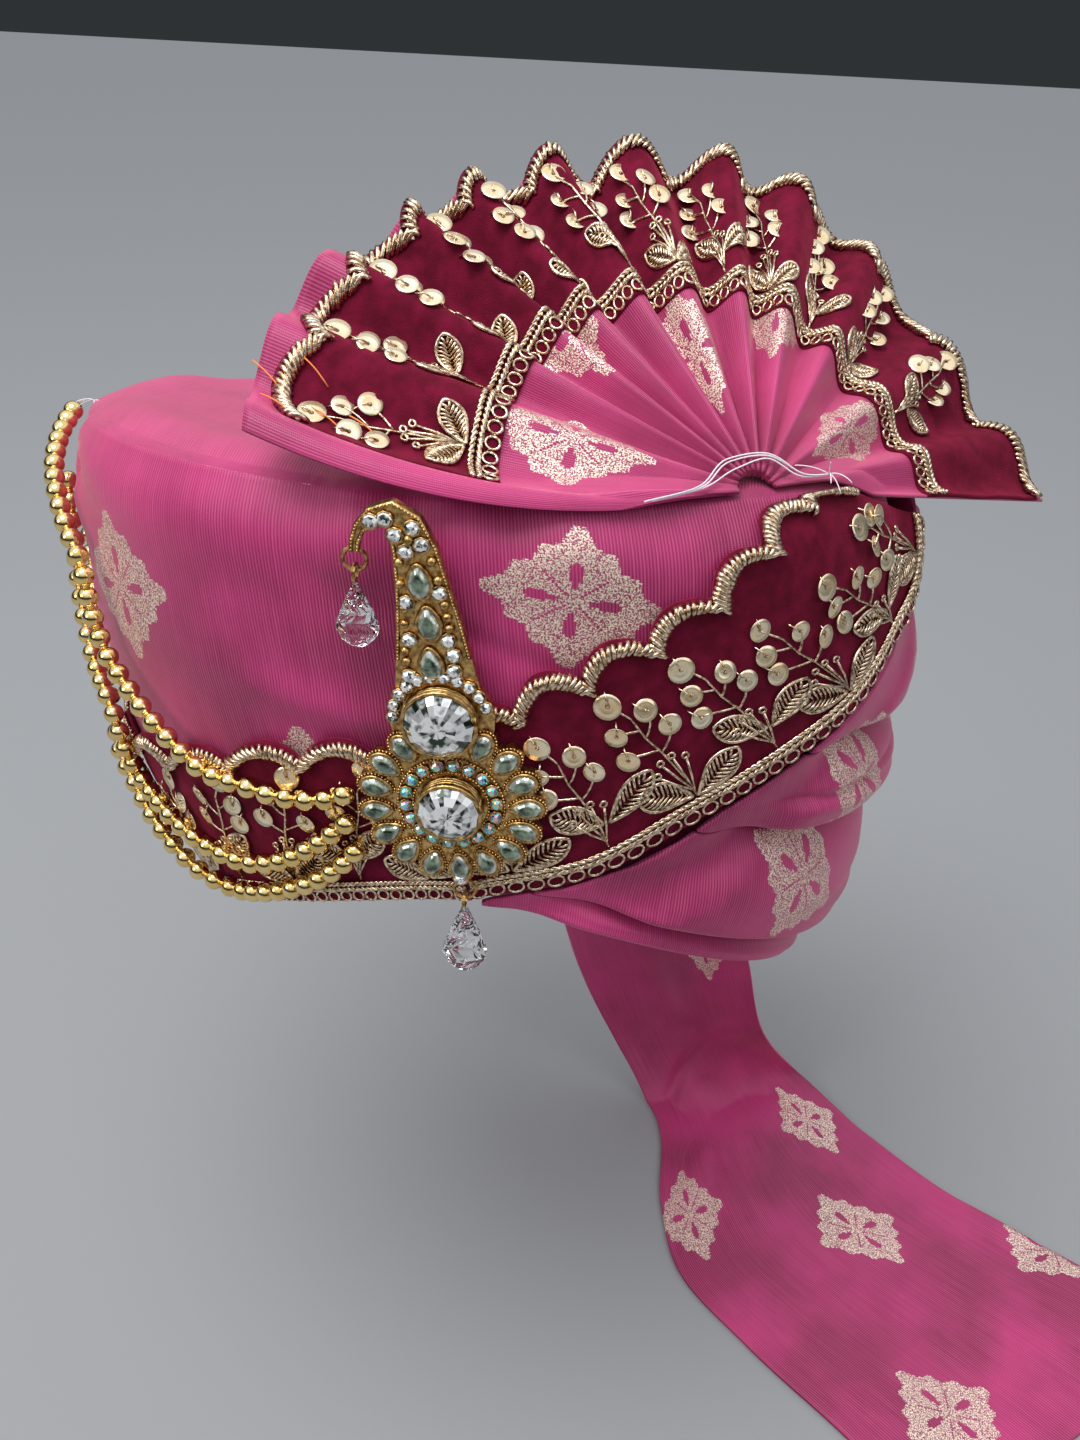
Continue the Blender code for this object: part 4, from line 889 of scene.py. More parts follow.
# The fan's band: even lengths along its pleats, measured half way out, and the width counted from its inner edge
def fanBand():
    inner = fan["radius"] - fan["trimInset"] - fan["trimWidth"]
    spread = np.linspace(fan["trimStart"], 1.0, 1200)
    line = fanPoint(spread, np.full(1200, inner + 0.5 * fan["trimWidth"]), 0.0)
    lengths = lengthsTo(line)
    full = fan["trimWidth"] - trim["scallopDepth"]

    def place(s, w, lift):
        at = np.interp(np.asarray(s), lengths, spread)
        return fanPoint(at, inner + np.asarray(w), np.asarray(lift) + fan["trimLift"])

    def foot(s):
        return np.full(np.shape(s), full)

    return dict(name="Fan", squeeze=0.70, length=lengths[-1], scallops=trim["fanScallops"], place=place, foot=foot)


# Height of the scalloped edge above its feet: depth |sin|^p
def scallopRise(band, s):
    turn = np.asarray(s) / band["length"] * band["scallops"] * pi
    return trim["scallopDepth"] * np.abs(np.sin(turn)) ** trim["scallopPower"]


# Velvet sheet of a band from its inner edge to just past its scallops, with soft ripples as its pile
def makeVelvet(band, node, columns):
    s = np.linspace(0.0, band["length"], columns)[:, None]
    across = np.linspace(0.0, 1.0, trim["rows"])[None, :]
    edge = band["foot"](s) + scallopRise(band, s) + trim["edgeOver"]
    pile = ripples(s * 160.0, across * 7.0, 61, 8, 0.6, 2.2) * trim["pile"]
    points = band["place"](s, edge * across, pile - trim["wall"] * 0.5)
    weave = paired(s, edge * across)
    piece = sheetPiece("velvet" + band["name"], points, velvet, weave, [(9.0, 9.0, 0)], 1.0, trim["sheetWall"])
    area = gridArea(points)
    width = round(float(edge.max()), 4)
    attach(piece, "turban")
    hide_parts(node)
    flat = (width, round(band["length"], 3))
    area = min(area, flat[0] * flat[1])
    print("scene: velvet", band["name"], flat, round(area, 4))


bandLeft = armBand("Left", armRows["left"], trim["leftScallops"])
bandRight = armBand("Right", armRows["right"], trim["rightScallops"])
bandFan = fanBand()
makeVelvet(bandLeft, "velvet_band_left", trim["columns"])
makeVelvet(bandRight, "velvet_band_right", trim["columns"])
makeVelvet(bandFan, "fan_velvet", trim["fanColumns"])

# Middle lines of the strings of gilt beads, in metres
stringRoutes = dict(
    bead_string_upper=[
        (-0.0318, -0.1093, 0.0703), (-0.0378, -0.1085, 0.0665), (-0.0434, -0.1077, 0.0647),
        (-0.0548, -0.1050, 0.0627), (-0.0665, -0.1014, 0.0627), (-0.0787, -0.0961, 0.0623),
        (-0.0886, -0.0912, 0.0671), (-0.0974, -0.0857, 0.0722), (-0.1057, -0.0794, 0.0779),
        (-0.1139, -0.0722, 0.0850), (-0.1177, -0.0687, 0.0954), (-0.1200, -0.0653, 0.1072),
        (-0.1291, -0.0531, 0.1164), (-0.1383, -0.0351, 0.1238), (-0.1431, -0.0161, 0.1278),
        (-0.1447, 0.0000, 0.1294),
    ],
    bead_string_middle=[
        (-0.0322, -0.1089, 0.0607), (-0.0370, -0.1083, 0.0555), (-0.0459, -0.1059, 0.0460),
        (-0.0568, -0.1019, 0.0366), (-0.0692, -0.0961, 0.0300), (-0.0791, -0.0907, 0.0282),
        (-0.0902, -0.0836, 0.0282), (-0.1026, -0.0739, 0.0306), (-0.1134, -0.0625, 0.0331),
        (-0.1170, -0.0626, 0.0440), (-0.1188, -0.0623, 0.0552), (-0.1317, -0.0435, 0.0644),
        (-0.1397, -0.0285, 0.0796), (-0.1443, -0.0160, 0.0960), (-0.1471, -0.0086, 0.1110),
    ],
    bead_string_lower=[
        (-0.0306, -0.1086, 0.0509), (-0.0351, -0.1076, 0.0441), (-0.0442, -0.1049, 0.0340),
        (-0.0544, -0.1009, 0.0256), (-0.0669, -0.0947, 0.0175), (-0.0782, -0.0871, 0.0118),
        (-0.0894, -0.0823, 0.0130), (-0.0990, -0.0760, 0.0164), (-0.1086, -0.0683, 0.0217),
        (-0.1161, -0.0604, 0.0272), (-0.1238, -0.0515, 0.0341), (-0.1289, -0.0410, 0.0430),
        (-0.1368, -0.0271, 0.0549), (-0.1430, -0.0118, 0.0688), (-0.1467, 0.0000, 0.0861),
        (-0.1496, 0.0097, 0.1039),
    ],
)
bead = dict(radius=0.00315, pitch=0.0063, sides=18, rings=12, drill=0.88, squash=0.97, thread=0.0004)
# Small ring between two beads: radii and heights
spacer = [(0.0004, -0.0004), (0.0011, -0.0003), (0.0013, 0.0), (0.0011, 0.0003), (0.0004, 0.0004)]


# Beads: spheres drawn in a little at the drill holes, turned to the string, with a small ring between each pair
def makeString(name, route):
    points = np.array(route)
    length = alongCurve(points, [0.0, 1.0])[1]
    count = int(round(length / bead["pitch"]))
    centres = alongCurve(points, (np.arange(count) + 0.5) / count)[0]
    dense = alongCurve(points, np.linspace(0.0, 1.0, count * 4))[0]
    way = unit(np.gradient(centres, axis=0))
    side = unit(np.cross(way, skyward))
    other = np.cross(way, side)
    turn = np.linspace(-pi / 2, pi / 2, bead["rings"]) * bead["drill"]
    profile = paired(np.cos(turn), np.sin(turn) * bead["squash"]) * bead["radius"]
    profile = np.concatenate([[(1e-5, profile[0, 1])], profile, [(1e-5, profile[-1, 1])]])
    sets = [copies(*turned(profile, bead["sides"]), centres, side, other, way)]
    between = alongCurve(points, np.arange(1, count) / count)[0]
    sets.append(copies(*turned(spacer, 10), between, side[1:], other[1:], way[1:]))
    sets.append(tubes(dense[None], skyward, bead["thread"]))
    piece = joined("beads" + name.rsplit("_", 1)[1].title(), sets, beadGold)
    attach(piece, "turban")
    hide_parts(name)
    return count


for name, route in stringRoutes.items():
    print("scene:", name, makeString(name, route), "beads")

# Embroidery, in metres of a band's flat coordinates: s along it, w across it from its inner edge
stitch = dict(
    lift=0.0003, ringPitch=0.0047, ringAcross=0.0024, ringRadius=0.0019, ringWire=0.00042,
    braidAcross=(0.0054, 0.0073), braidRadius=0.00052, braidTwist=0.0036, braidStep=0.0009,
    braidLift=0.0004, unitAcross=0.0080, cordInset=0.0014, cordPitch=0.00165, cordLength=0.0052, cordRadius=0.00070,
    cordSlant=0.58, cordHeight=0.0014, cordRound=2.4, coreLift=0.0002, coreRadius=0.0009, coreFlat=0.7, unevenness=0.07,
    leafLift=0.0004, satins=9, satinRadius=0.00042, satinFlat=0.8, edgeRadius=0.00058, stemLift=0.0003,
    stemRadius=0.000375, floretRadius=0.00042, knotLift=0.0006, knotRadius=0.0009, knotWire=0.0004,
    sequinRadius=0.0034, sequinHole=0.0006, sequinLift=0.0005, sequinShift=0.0005, sequinTip=0.13, endGap=0.014,
)
# One unit of the motif in millimetres from the joint of its leaves: sequins, then stems, leaves and floret
unitSequins = [(-8.8, 39.6), (-0.1, 32.9), (3.0, 26.0), (-11.5, 31.0), (-12.0, 23.1)]
unitStems = [
    [(0.0, 1.0), (-0.8, 8.0), (-2.9, 19.3), (-4.7, 25.6), (-5.4, 33.0), (-8.8, 39.6)],
    [(-2.9, 19.3), (-1.2, 20.4), (0.6, 22.0), (2.0, 23.8), (2.6, 25.0), (3.0, 26.0)],
    [(-4.7, 25.6), (-3.2, 26.8), (-1.8, 28.6), (-0.9, 30.4), (-0.4, 31.8), (-0.1, 32.9)],
    [(-5.0, 28.6), (-6.2, 29.0), (-7.6, 29.6), (-9.0, 30.2), (-10.3, 30.7), (-11.5, 31.0)],
    [(-2.9, 20.2), (-4.6, 20.7), (-6.4, 21.3), (-8.4, 22.0), (-10.2, 22.6), (-12.0, 23.1)],
]
unitLeaves = [(0.4, 1.0, 14.5, 8.5, 8.4), (-1.0, 1.4, -13.0, 10.4, 8.4)]
# Every other unit has its leaves' joint moved by this much
raised = (1.4, 7.5)
unitFloret = [(-6.6, 12.6), (-4.6, 15.8), (-1.2, 16.4), (1.9, 14.4)]


# A unit's millimetres as metres of a band's flat coordinates, narrowed where the band's units are
def unitMetres(band, place):
    return np.asarray(place) / 1000 * np.array([band["squeeze"], 1.0])


# Points of a band at the stitches' lift and a rise over it, with its outward normal there, taken from a second point
# a millimetre higher
def onBand(band, s, w, rise):
    lift = np.asarray(rise) + stitch["lift"]
    points = band["place"](s, w, lift)
    return points, unit(band["place"](s, w, lift + 0.001) - points)


def bandTubes(band, s, w, rise, radius, flatten=1.0):
    return tubes(*onBand(band, s, w, rise), radius, 6, flatten)


# Circles of thread about centres: (s + r cos t, w + r sin t)
def bandRings(band, s, w, rise, radius, wire, steps=15):
    turn = np.linspace(0.0, 2 * pi * 1.02, steps)
    alongRing = np.asarray(s)[:, None] + radius * np.cos(turn)
    acrossRing = np.asarray(w)[:, None] + radius * np.sin(turn)
    return bandTubes(band, alongRing, acrossRing, rise, wire)


# Chain of rings along the inner edge, and two cords of two strands each, twisted: r (cos, sin)(2 pi s / t)
def edgeTrim(band, draw):
    count = int(band["length"] / stitch["ringPitch"])
    s = (np.arange(count) + 0.5) * band["length"] / count
    w = stitch["ringAcross"] + draw.normal(0.0, 0.00008, count)
    sets = [bandRings(band, s, w, 0.0, stitch["ringRadius"], stitch["ringWire"])]
    s = np.arange(0.0, band["length"], stitch["braidStep"])
    for number, across in enumerate(stitch["braidAcross"]):
        for strand in (0.0, pi):
            turn = 2 * pi * s / stitch["braidTwist"] * (1 if number else -1) + strand
            w = across + stitch["braidRadius"] * 0.9 * np.cos(turn)
            rise = stitch["braidLift"] + stitch["braidRadius"] * 0.8 * np.sin(turn)
            sets.append(bandTubes(band, s[None], w[None], rise[None], stitch["braidRadius"]))
    return sets


# Wrapped cord along the scallops: slanted stitches at an even pitch of the edge's length, arched over it
def scallopCord(band, draw):
    dense = np.linspace(0.0005, band["length"] - 0.0005, 6000)
    edge = band["foot"](dense) + scallopRise(band, dense) - stitch["cordInset"]
    lengths = lengthsTo(paired(dense, edge))
    count = int(lengths[-1] / stitch["cordPitch"])
    at = (np.arange(count) + 0.5) / count * lengths[-1]
    s, w = np.interp(at, lengths, dense), np.interp(at, lengths, edge)
    before, after = (paired(*(np.interp(at + step, lengths, line) for line in (dense, edge))) for step in (-6e-4, 6e-4))
    t = unit(after - before)
    n = paired(-t[:, 1], t[:, 0])
    slant = stitch["cordSlant"] + draw.normal(0.0, stitch["unevenness"], count)[:, None]
    way = unit(n * np.cos(slant) + t * np.sin(slant))
    half = stitch["cordLength"] / 2 * (1.0 + draw.normal(0.0, stitch["unevenness"], count))
    k = np.linspace(-1.0, 1.0, 5)
    alongStitch = s[:, None] + way[:, 0:1] * half[:, None] * k
    acrossStitch = w[:, None] + way[:, 1:2] * half[:, None] * k
    rise = stitch["cordHeight"] * (1.0 - np.abs(k) ** stitch["cordRound"])
    sets = [bandTubes(band, alongStitch, acrossStitch, rise, stitch["cordRadius"])]
    core = dense[::12][None], edge[::12][None]
    sets.append(bandTubes(band, *core, stitch["coreLift"], stitch["coreRadius"], stitch["coreFlat"]))
    return sets


# A leaf: half width W/2 sin(pi u^1.35)^0.7 round its axis, corded outline, V stitches from the midrib to the edge
def leafSets(band, origins, leaf, draw):
    baseS, baseW, tipS, tipW, width = (value / 1000 for value in leaf)
    baseS, tipS, width = baseS * band["squeeze"], tipS * band["squeeze"], width * (0.4 + 0.6 * band["squeeze"])
    axis = np.array([tipS - baseS, tipW - baseW])
    length = np.linalg.norm(axis)
    axis = axis / length
    side = np.array([-axis[1], axis[0]])

    def half(u):
        return width / 2 * np.sin(pi * np.clip(u, 0.0, 1.0) ** 1.35) ** 0.7

    def spots(u, v):
        s = baseS + axis[0] * u * length + side[0] * v
        w = baseW + axis[1] * u * length + side[1] * v
        return origins[:, 0, None] + s[None], origins[:, 1, None] + w[None]

    u = (1.0 - np.cos(np.linspace(0.0, 2 * pi, 30))) / 2
    sign = np.where(np.arange(30) < 15, 1.0, -1.0)
    sets = [bandTubes(band, *spots(u, half(u) * sign), stitch["leafLift"], stitch["edgeRadius"])]
    for sign in (-1.0, 1.0):
        for k in range(stitch["satins"]):
            start = 0.10 + 0.76 * k / stitch["satins"]
            end = min(start + 0.17, 0.96)
            u = np.array([start, (start + end) / 2, end])
            v = np.array([0.0001, half(end) * 0.52, half(end) * 0.95]) * sign
            s, w = spots(u, v)
            rise = np.array([0.0001, 0.0007, 0.0003]) + draw.uniform(0, 0.0002, s.shape)
            sets.append(bandTubes(band, s, w, rise, stitch["satinRadius"], stitch["satinFlat"]))
    return sets


# Stems and floret of each unit, with a knot ring at the end of each of the floret's stitches
def stemSets(band, origins):
    sets = []
    for stem in unitStems:
        path = unitMetres(band, stem)
        s, w = origins[:, 0:1] + path[:, 0], origins[:, 1:2] + path[:, 1]
        sets.append(bandTubes(band, s, w, stitch["stemLift"], stitch["stemRadius"]))
    k = np.array([0.0, 0.5, 1.0])
    for end in unitFloret:
        s = origins[:, 0:1] + k * end[0] / 1000 * band["squeeze"]
        w = origins[:, 1:2] + (0.003 + k * (end[1] / 1000 - 0.003))
        sets.append(bandTubes(band, s, w, np.array([0.0004, 0.0010, 0.0004]), stitch["floretRadius"]))
        knot = s[:, 2], w[:, 2] + 0.0006, stitch["knotLift"]
        sets.append(bandRings(band, *knot, stitch["knotRadius"], stitch["knotWire"], 9))
    return sets


# Sequins: dished discs with a hole, tipped a little each way, and a thread from the hole over the rim
def sequinSets(band, origins, draw):
    hole, rim = stitch["sequinHole"], stitch["sequinRadius"]
    dish = rim * 0.55
    profile = [(hole, 0.0), (dish, -0.00005), (rim, 0.0004), (rim, 0.00055), (dish, 0.0001), (hole, 0.00015)]
    disc, faces = turned(profile, 20)
    knot, knotFaces = turned([(1e-5, -0.0004), (0.0006, 0.0), (1e-5, 0.0004)], 6)
    sets, threads = [], []
    k = np.array([0.0, 0.5, 1.0])
    count = len(origins)
    for number, place in enumerate(unitSequins):
        s, w = (origins + unitMetres(band, place) + draw.normal(0.0, stitch["sequinShift"], (2, count)).T).T
        places, ups = onBand(band, s, w, stitch["sequinLift"])
        right = unit(onBand(band, s + 0.001, w, stitch["sequinLift"])[0] - places)
        tip = draw.normal(0.0, stitch["sequinTip"], (count, 2))
        out = unit(ups + right * tip[:, :1] + np.cross(ups, right) * tip[:, 1:])
        right = unit(right - out * (right * out).sum(axis=1, keepdims=True))
        axes = right, np.cross(out, right), out
        size = (0.93 if number else 1.08) * (1.0 + draw.normal(0.0, 0.03, count))
        sets.append(copies(disc, faces, places, *axes, size))
        angle = draw.uniform(1.1, 2.1, count)
        threadS = s[:, None] + k * (rim * 1.25 * np.cos(angle))[:, None]
        threadW = w[:, None] + k * (rim * 1.25 * np.sin(angle))[:, None]
        threads.append(bandTubes(band, threadS, threadW, np.array([0.0008, 0.0013, 0.0002]), 0.00030))
        threads.append(copies(knot, knotFaces, onBand(band, s, w, 0.0008)[0], *axes))
    return sets, threads


# All the gold thread and the sequins of a band, as two pieces; the fan's last scallop, at the right, has no unit
def embroider(band, seed):
    draw = np.random.default_rng(seed)
    pitch = band["length"] / band["scallops"]
    s = (np.arange(band["scallops"]) + 0.5) * pitch
    origins = np.stack([s, np.full(len(s), stitch["unitAcross"])], axis=-1)
    inside = origins[s < band["length"] - stitch["endGap"]] if band["name"] == "Fan" else origins
    sets = edgeTrim(band, draw) + scallopCord(band, draw) + stemSets(band, inside)
    joints = inside.copy()
    joints[1::2] += unitMetres(band, raised)
    for leaf in unitLeaves:
        fits = joints[:, 0] + leaf[2] / 1000 < band["length"] - 0.001
        sets += leafSets(band, joints[fits], leaf, draw)
    discs, threads = sequinSets(band, inside, draw)
    gold = joined("embroidery" + band["name"], sets + threads, goldThread)
    shiny = joined("sequins" + band["name"], discs, sequinGold)
    for piece in (gold, shiny):
        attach(piece, "turban")
    return len(gold.data.polygons) * 2, len(shiny.data.polygons) * 2


for band, seed in ((bandLeft, 101), (bandRight, 102), (bandFan, 103)):
    print("scene: embroidery", band["name"], embroider(band, seed), "triangles")

# Loose threads: tie over the fan's foot and its ends, tacking at the fan's left end, and tufts on the left side
loose = dict(
    radius=0.00022, turns=3, tie=[(0.0, 0.030), (0.02, 0.016), (0.3, 0.009), (0.7, 0.009), (0.98, 0.014), (1.0, 0.024)],
    tacks=[(0.035, 0.120), (0.045, 0.108), (0.06, 0.124), (0.075, 0.113), (0.05, 0.098)],
    tufts=[(-98.0, 0.80, 0.013), (-72.0, 1.0, 0.008)],
)


# Tubes through points of the fan's flat coordinates, and sprays of strands: root + way t + fall t^2
def makeThreads():
    draw = np.random.default_rng(211)
    white, orange = [], []
    tie = np.array(loose["tie"])
    for turn in range(loose["turns"]):
        row = tie + draw.normal(0.0, 0.0006, tie.shape) * np.array([0.0, 1.0])
        line = fanPoint(row[:, 0], row[:, 1] + 0.0010 * turn, 0.0022 + 0.0003 * turn)
        white.append(tubes(alongCurve(line, np.linspace(0, 1, 40))[0][None], fanFace, loose["radius"], 6))
    t = np.linspace(0.0, 1.0, 9)[:, None]
    roots = [(fanPoint(1.0, 0.024, 0.0028), 0.012, 5)]
    for azimuth, share, length in loose["tufts"]:
        roots.append((leaned(onBody(math.radians(azimuth), share, 0.0005)), length, 6))
    for number, (root, length, strands) in enumerate(roots):
        outward = fanFace if number == 0 else unit(root * np.array([1.0, 1.0, 0.0]))
        for strand in range(strands):
            way = unit(outward + draw.normal(0.0, 0.55, 3)) * length * draw.uniform(0.6, 1.1)
            line = root + way * t - skyward * 0.35 * length * t**2
            white.append(tubes(line[None], skyward, loose["radius"] * 0.7))
    for spread, radius in loose["tacks"]:
        ends = np.linspace(0.0, 1.0, 7)
        line = fanPoint(spread + 0.012 * ends, radius + 0.009 * ends, 0.0022 + 0.0012 * np.sin(pi * ends))
        orange.append(tubes(line[None], fanFace, loose["radius"], 6))
    for name, sets, mat in (("tieThread", white, threadWhite), ("tackThread", orange, threadOrange)):
        piece = joined(name, sets, mat)
        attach(piece, "turban")


threadWhite = newFinish("threadWhite", {"Roughness": 0.7}, (0.80, 0.76, 0.78))[0]
threadOrange = newFinish("threadOrange", {"Roughness": 0.6}, (0.85, 0.24, 0.05))[0]
makeThreads()
print("scene: loose threads made")

# Brooch: its own plane in millimetres, right and up as the viewer sees it
brooch = dict(standOff=0.0067, tilt=14.5, roll=7.3, plate=0.0025, azimuth=-1.4, share=0.265)
flower = dict(middle=(1.6, 5.5), ring=20.8, petals=15, first=120.0, sweep=300.0)
upperStone = dict(middle=(2.4, 32.4), radius=10.0, lift=0.0030)
flowerStone = dict(middle=(1.6, 5.5), radius=9.0, lift=0.0040)
# Flat stones: sizes of the stone, its wire and its grains in millimetres; lift, thickness and wire radius in metres
petalStone = dict(stone=(7.8, 5.2), wire=(8.6, 6.0), grains=(10.4, 7.5), lift=0.0004, thickness=0.0021, radius=0.00058)
plumeStone = dict(stone=(8.6, 5.6), wire=(9.5, 6.4), lift=0.0005, thickness=0.0022, radius=0.0006)
plumeStones = [("plume_stone_low", 2.0, 48.8), ("plume_stone_mid", 3.0, 60.5), ("plume_stone_top", 2.1, 72.0)]
# Plume's middle line as shares of 55 mm above 36 mm: across, up, half width
plumeRows = [
    (0.045, -0.05, 0.225), (0.049, 0.255, 0.178), (0.051, 0.436, 0.153), (0.046, 0.618, 0.125),
    (0.038, 0.800, 0.104), (0.009, 0.925, 0.083), (-0.050, 0.985, 0.062), (-0.127, 0.975, 0.045),
    (-0.195, 0.925, 0.030), (-0.227, 0.864, 0.024), (-0.238, 0.812, 0.023),
]


# Origin of the brooch's plane on the body, and its right, up and outward directions, leaned with the body
def broochAxes():
    tilt, roll = math.radians(brooch["tilt"]), math.radians(brooch["roll"])
    seat = onBody(math.radians(brooch["azimuth"]), brooch["share"], 0.0) - np.array([0.0, brooch["standOff"], 0.0])
    upWay = np.array([0.0, -math.sin(tilt), math.cos(tilt)])
    rightWay = np.array([1.0, 0.0, 0.0])
    outWay = np.array([0.0, -math.cos(tilt), -math.sin(tilt)])
    up = upWay * math.cos(roll) - rightWay * math.sin(roll)
    right = rightWay * math.cos(roll) + upWay * math.sin(roll)
    back = seat - outWay * brooch["plate"]
    return leaned(back), leaned(right), leaned(up), leaned(outWay)


broochOrigin, broochRight, broochUp, broochOut = broochAxes()


# World points of brooch millimetres with a lift in metres off the plate's back
def onBrooch(xy, lift):
    xy = np.asarray(xy, dtype=float) / 1000
    lift = np.broadcast_to(np.asarray(lift, dtype=float), xy.shape[:-1])[..., None]
    return broochOrigin + xy[..., 0:1] * broochRight + xy[..., 1:2] * broochUp + lift * broochOut


def broochFrames(count):
    return [np.broadcast_to(way, (count, 3)) for way in (broochRight, broochUp, broochOut)]


# Drop outline about its middle: length/2 cos a, width/2 sin a (1 - 0.42 max(0, cos a)), pointed along its turn
def dropOutline(length, width, sides, turn):
    cos, sin = circle(sides).T
    x = length / 2 * cos
    y = width / 2 * sin * (1.0 - 0.42 * np.maximum(0.0, cos))
    return paired(x * math.cos(turn) - y * math.sin(turn), x * math.sin(turn) + y * math.cos(turn))


# Stone from an outline in millimetres: rings of the outline scaled by the cut's shares, closed at the table
def stoneSet(outline, middle, base, thickness, cut):
    rings = []
    for share, rise in cut:
        rings.append(onBrooch(np.asarray(middle) + outline * share, base + thickness * rise))
    points = np.concatenate(rings)
    return points, gridFaces(len(cut), len(outline), wrapColumns=True)


# Closed ring of wire along an outline
def outlineWire(outline, middle, lift, radius):
    loop = np.concatenate([outline, outline[:2]])
    return tubes(onBrooch(np.asarray(middle) + loop, lift)[None], broochOut, radius)


# Row of small balls at an even pitch along a path, closed where asked
def grainRow(path, pitch, size, lift, closed=True):
    path = np.asarray(path, dtype=float)
    if closed:
        path = np.concatenate([path, path[:1]])
    lengths = lengthsTo(path)
    count = int(lengths[-1] / pitch)
    at = (np.arange(count) + 0.5) / count * lengths[-1]
    return balls(paired(*(np.interp(at, lengths, path[:, c]) for c in (0, 1))), size, lift, 6, 4)


# Spheres in the brooch's plane
def balls(spots, radius, lift, sides=12, rings=8):
    turn = np.linspace(-pi / 2, pi / 2, rings)
    profile = paired(np.maximum(np.cos(turn), 1e-3), np.sin(turn)) * 0.001
    places = onBrooch(spots, lift)
    return copies(*turned(profile, sides), places, *broochFrames(len(places)), radius)


petalTurns = np.radians(flower["first"] + flower["sweep"] * np.arange(flower["petals"]) / (flower["petals"] - 1))
petalMiddles = np.array(flower["middle"]) + flower["ring"] * paired(np.cos(petalTurns), np.sin(petalTurns))
# Clear stones beside the plume and across it, and the gold balls on both its sides, in brooch millimetres
sideSpots = [
    (6.8, 68.7), (-1.8, 66.4), (-2.6, 56.0), (7.3, 55.4), (8.1, 51.2), (7.7, 46.6), (-4.2, 45.5), (-7.6, 88.6),
    (-4.0, 89.0), (1.2, -19.6),
]
crossSpots = [(2.4, 86.4), (-2.2, 84.7), (-0.1, 80.2), (4.1, 81.8)]
plumeBalls = [
    (-2.2, 77.5), (-2.8, 71.7), (-2.8, 64.9), (-3.3, 60.6), (-4.2, 52.9), (-4.2, 50.0), (6.0, 77.5), (7.0, 72.3),
    (7.7, 65.5), (7.9, 62.1), (8.1, 59.0), (1.0, 83.4),
]
# Cuts: share of the outline and share of the height, ring by ring
domeCut = [(1.0, 0.0), (1.0, 0.30), (0.86, 0.62), (0.66, 0.84), (0.40, 0.97), (0.16, 1.0), (0.001, 1.0)]
starCut = [(1.0, 0.0), (1.0, 0.28), (0.80, 0.66), (0.54, 1.0), (0.25, 1.0), (0.001, 1.0)]


# Foiled flat glass: dark green in the middle, painted silver towards its edge as a painted reflection of the foil
def foilFinish():
    mat, tree, shader = newFinish("foiledGlass", {
        "Roughness": 0.10, "Metallic": 0.55, "Coat Weight": 1.0, "Coat Roughness": 0.02, "Specular IOR Level": 0.8,
    })
    rim = put(tree, "ShaderNodeAttribute", attribute_name="rim").outputs["Fac"]
    patch = remap(tree, grain(tree, 420.0, 2.0), 0.36, 0.62)
    centre = blendColour(tree, patch, (0.020, 0.040, 0.022, 1), (0.22, 0.31, 0.20, 1))
    edge = blendColour(tree, patch, (0.20, 0.26, 0.19, 1), (0.92, 0.96, 0.90, 1))
    # Painted reflection: the colour goes to the near-white edge colour towards the stone's rim
    colour = blendColour(tree, remap(tree, rim, 0.50, 0.95), centre, edge)
    tree.links.new(colour, shader.inputs["Base Color"])
    return mat


# Cut glass over foil: each facet takes its own tone, between two colours or along a ramp of tints; between a dark and a
# bright colour, the tones are painted reflections and painted glints
def facetFinish(name, dark, bright, scale, tints=None):
    mat, tree, shader = newFinish(name, {
        "Roughness": 0.08, "Metallic": 0.70, "Coat Weight": 0.4, "Coat Roughness": 0.02, "Specular IOR Level": 0.8,
    })
    tone = put(tree, "ShaderNodeAttribute", attribute_name="tone").outputs["Fac"]
    fine = remap(tree, grain(tree, scale, 1.0), 0.35, 0.65)
    mixed = plus(tree, times(tree, tone, 0.65), times(tree, fine, 0.35))
    if tints:
        ramp = put(tree, "ShaderNodeValToRGB", {0: mixed})
        ramp.color_ramp.elements.remove(ramp.color_ramp.elements[1])
        for place, tint in tints:
            ramp.color_ramp.elements.new(place).color = (*tint, 1.0)
        colour = ramp.outputs[0]
    else:
        colour = blendColour(tree, remap(tree, mixed, 0.25, 0.62), dark, bright)
    tree.links.new(colour, shader.inputs["Base Color"])
    return mat


foil = foilFinish()
# Chatons and clear rhinestones: facets painted near-black and near-white at random, as painted dark reflections and
# painted glints
chaton = facetFinish("chaton", (0.02, 0.035, 0.02, 1), (1.0, 1.0, 0.98, 1), 500.0)
rainbow = facetFinish("rainbowStone", None, None, 700.0, [
    (0.15, (0.10, 0.20, 0.75)), (0.35, (0.15, 0.85, 0.90)), (0.52, (0.20, 0.90, 0.45)), (0.70, (0.95, 0.35, 0.75)),
    (0.88, (0.95, 0.62, 0.30)),
])
clear = newFinish("clearCrystal", {
    "Roughness": 0.02, "Transmission Weight": 1.0, "IOR": 1.54, "Specular IOR Level": 0.7,
}, (0.98, 0.97, 0.96))[0]


# Each stone's faces set apart, so every facet is flat, with a tone for each face or each point
def stonePiece(name, sets, mat, perPoint=None):
    draw = np.random.default_rng(len(name) * 7)
    points, faces = merged(sets)
    tones = np.repeat(draw.uniform(0.0, 1.0, len(faces)) ** 0.8, faces.shape[1])
    rims = tones if perPoint is None else np.concatenate(perPoint)[faces.ravel()]
    split = np.arange(faces.size).reshape(faces.shape)
    values = {"tone": tones, "rim": rims}
    return meshPiece(name, points[faces.ravel()], split, mat, attributes=values, smooth=False)


# One flat stone, with the wire about it added to the gold
def flatStone(gold, kind, middle, turn):
    base = brooch["plate"] + kind["lift"]
    gold.append(outlineWire(dropOutline(*kind["wire"], 22, turn), middle, base + 0.0003, kind["radius"]))
    return stoneSet(dropOutline(*kind["stone"], 18, turn), middle, base, kind["thickness"], domeCut)
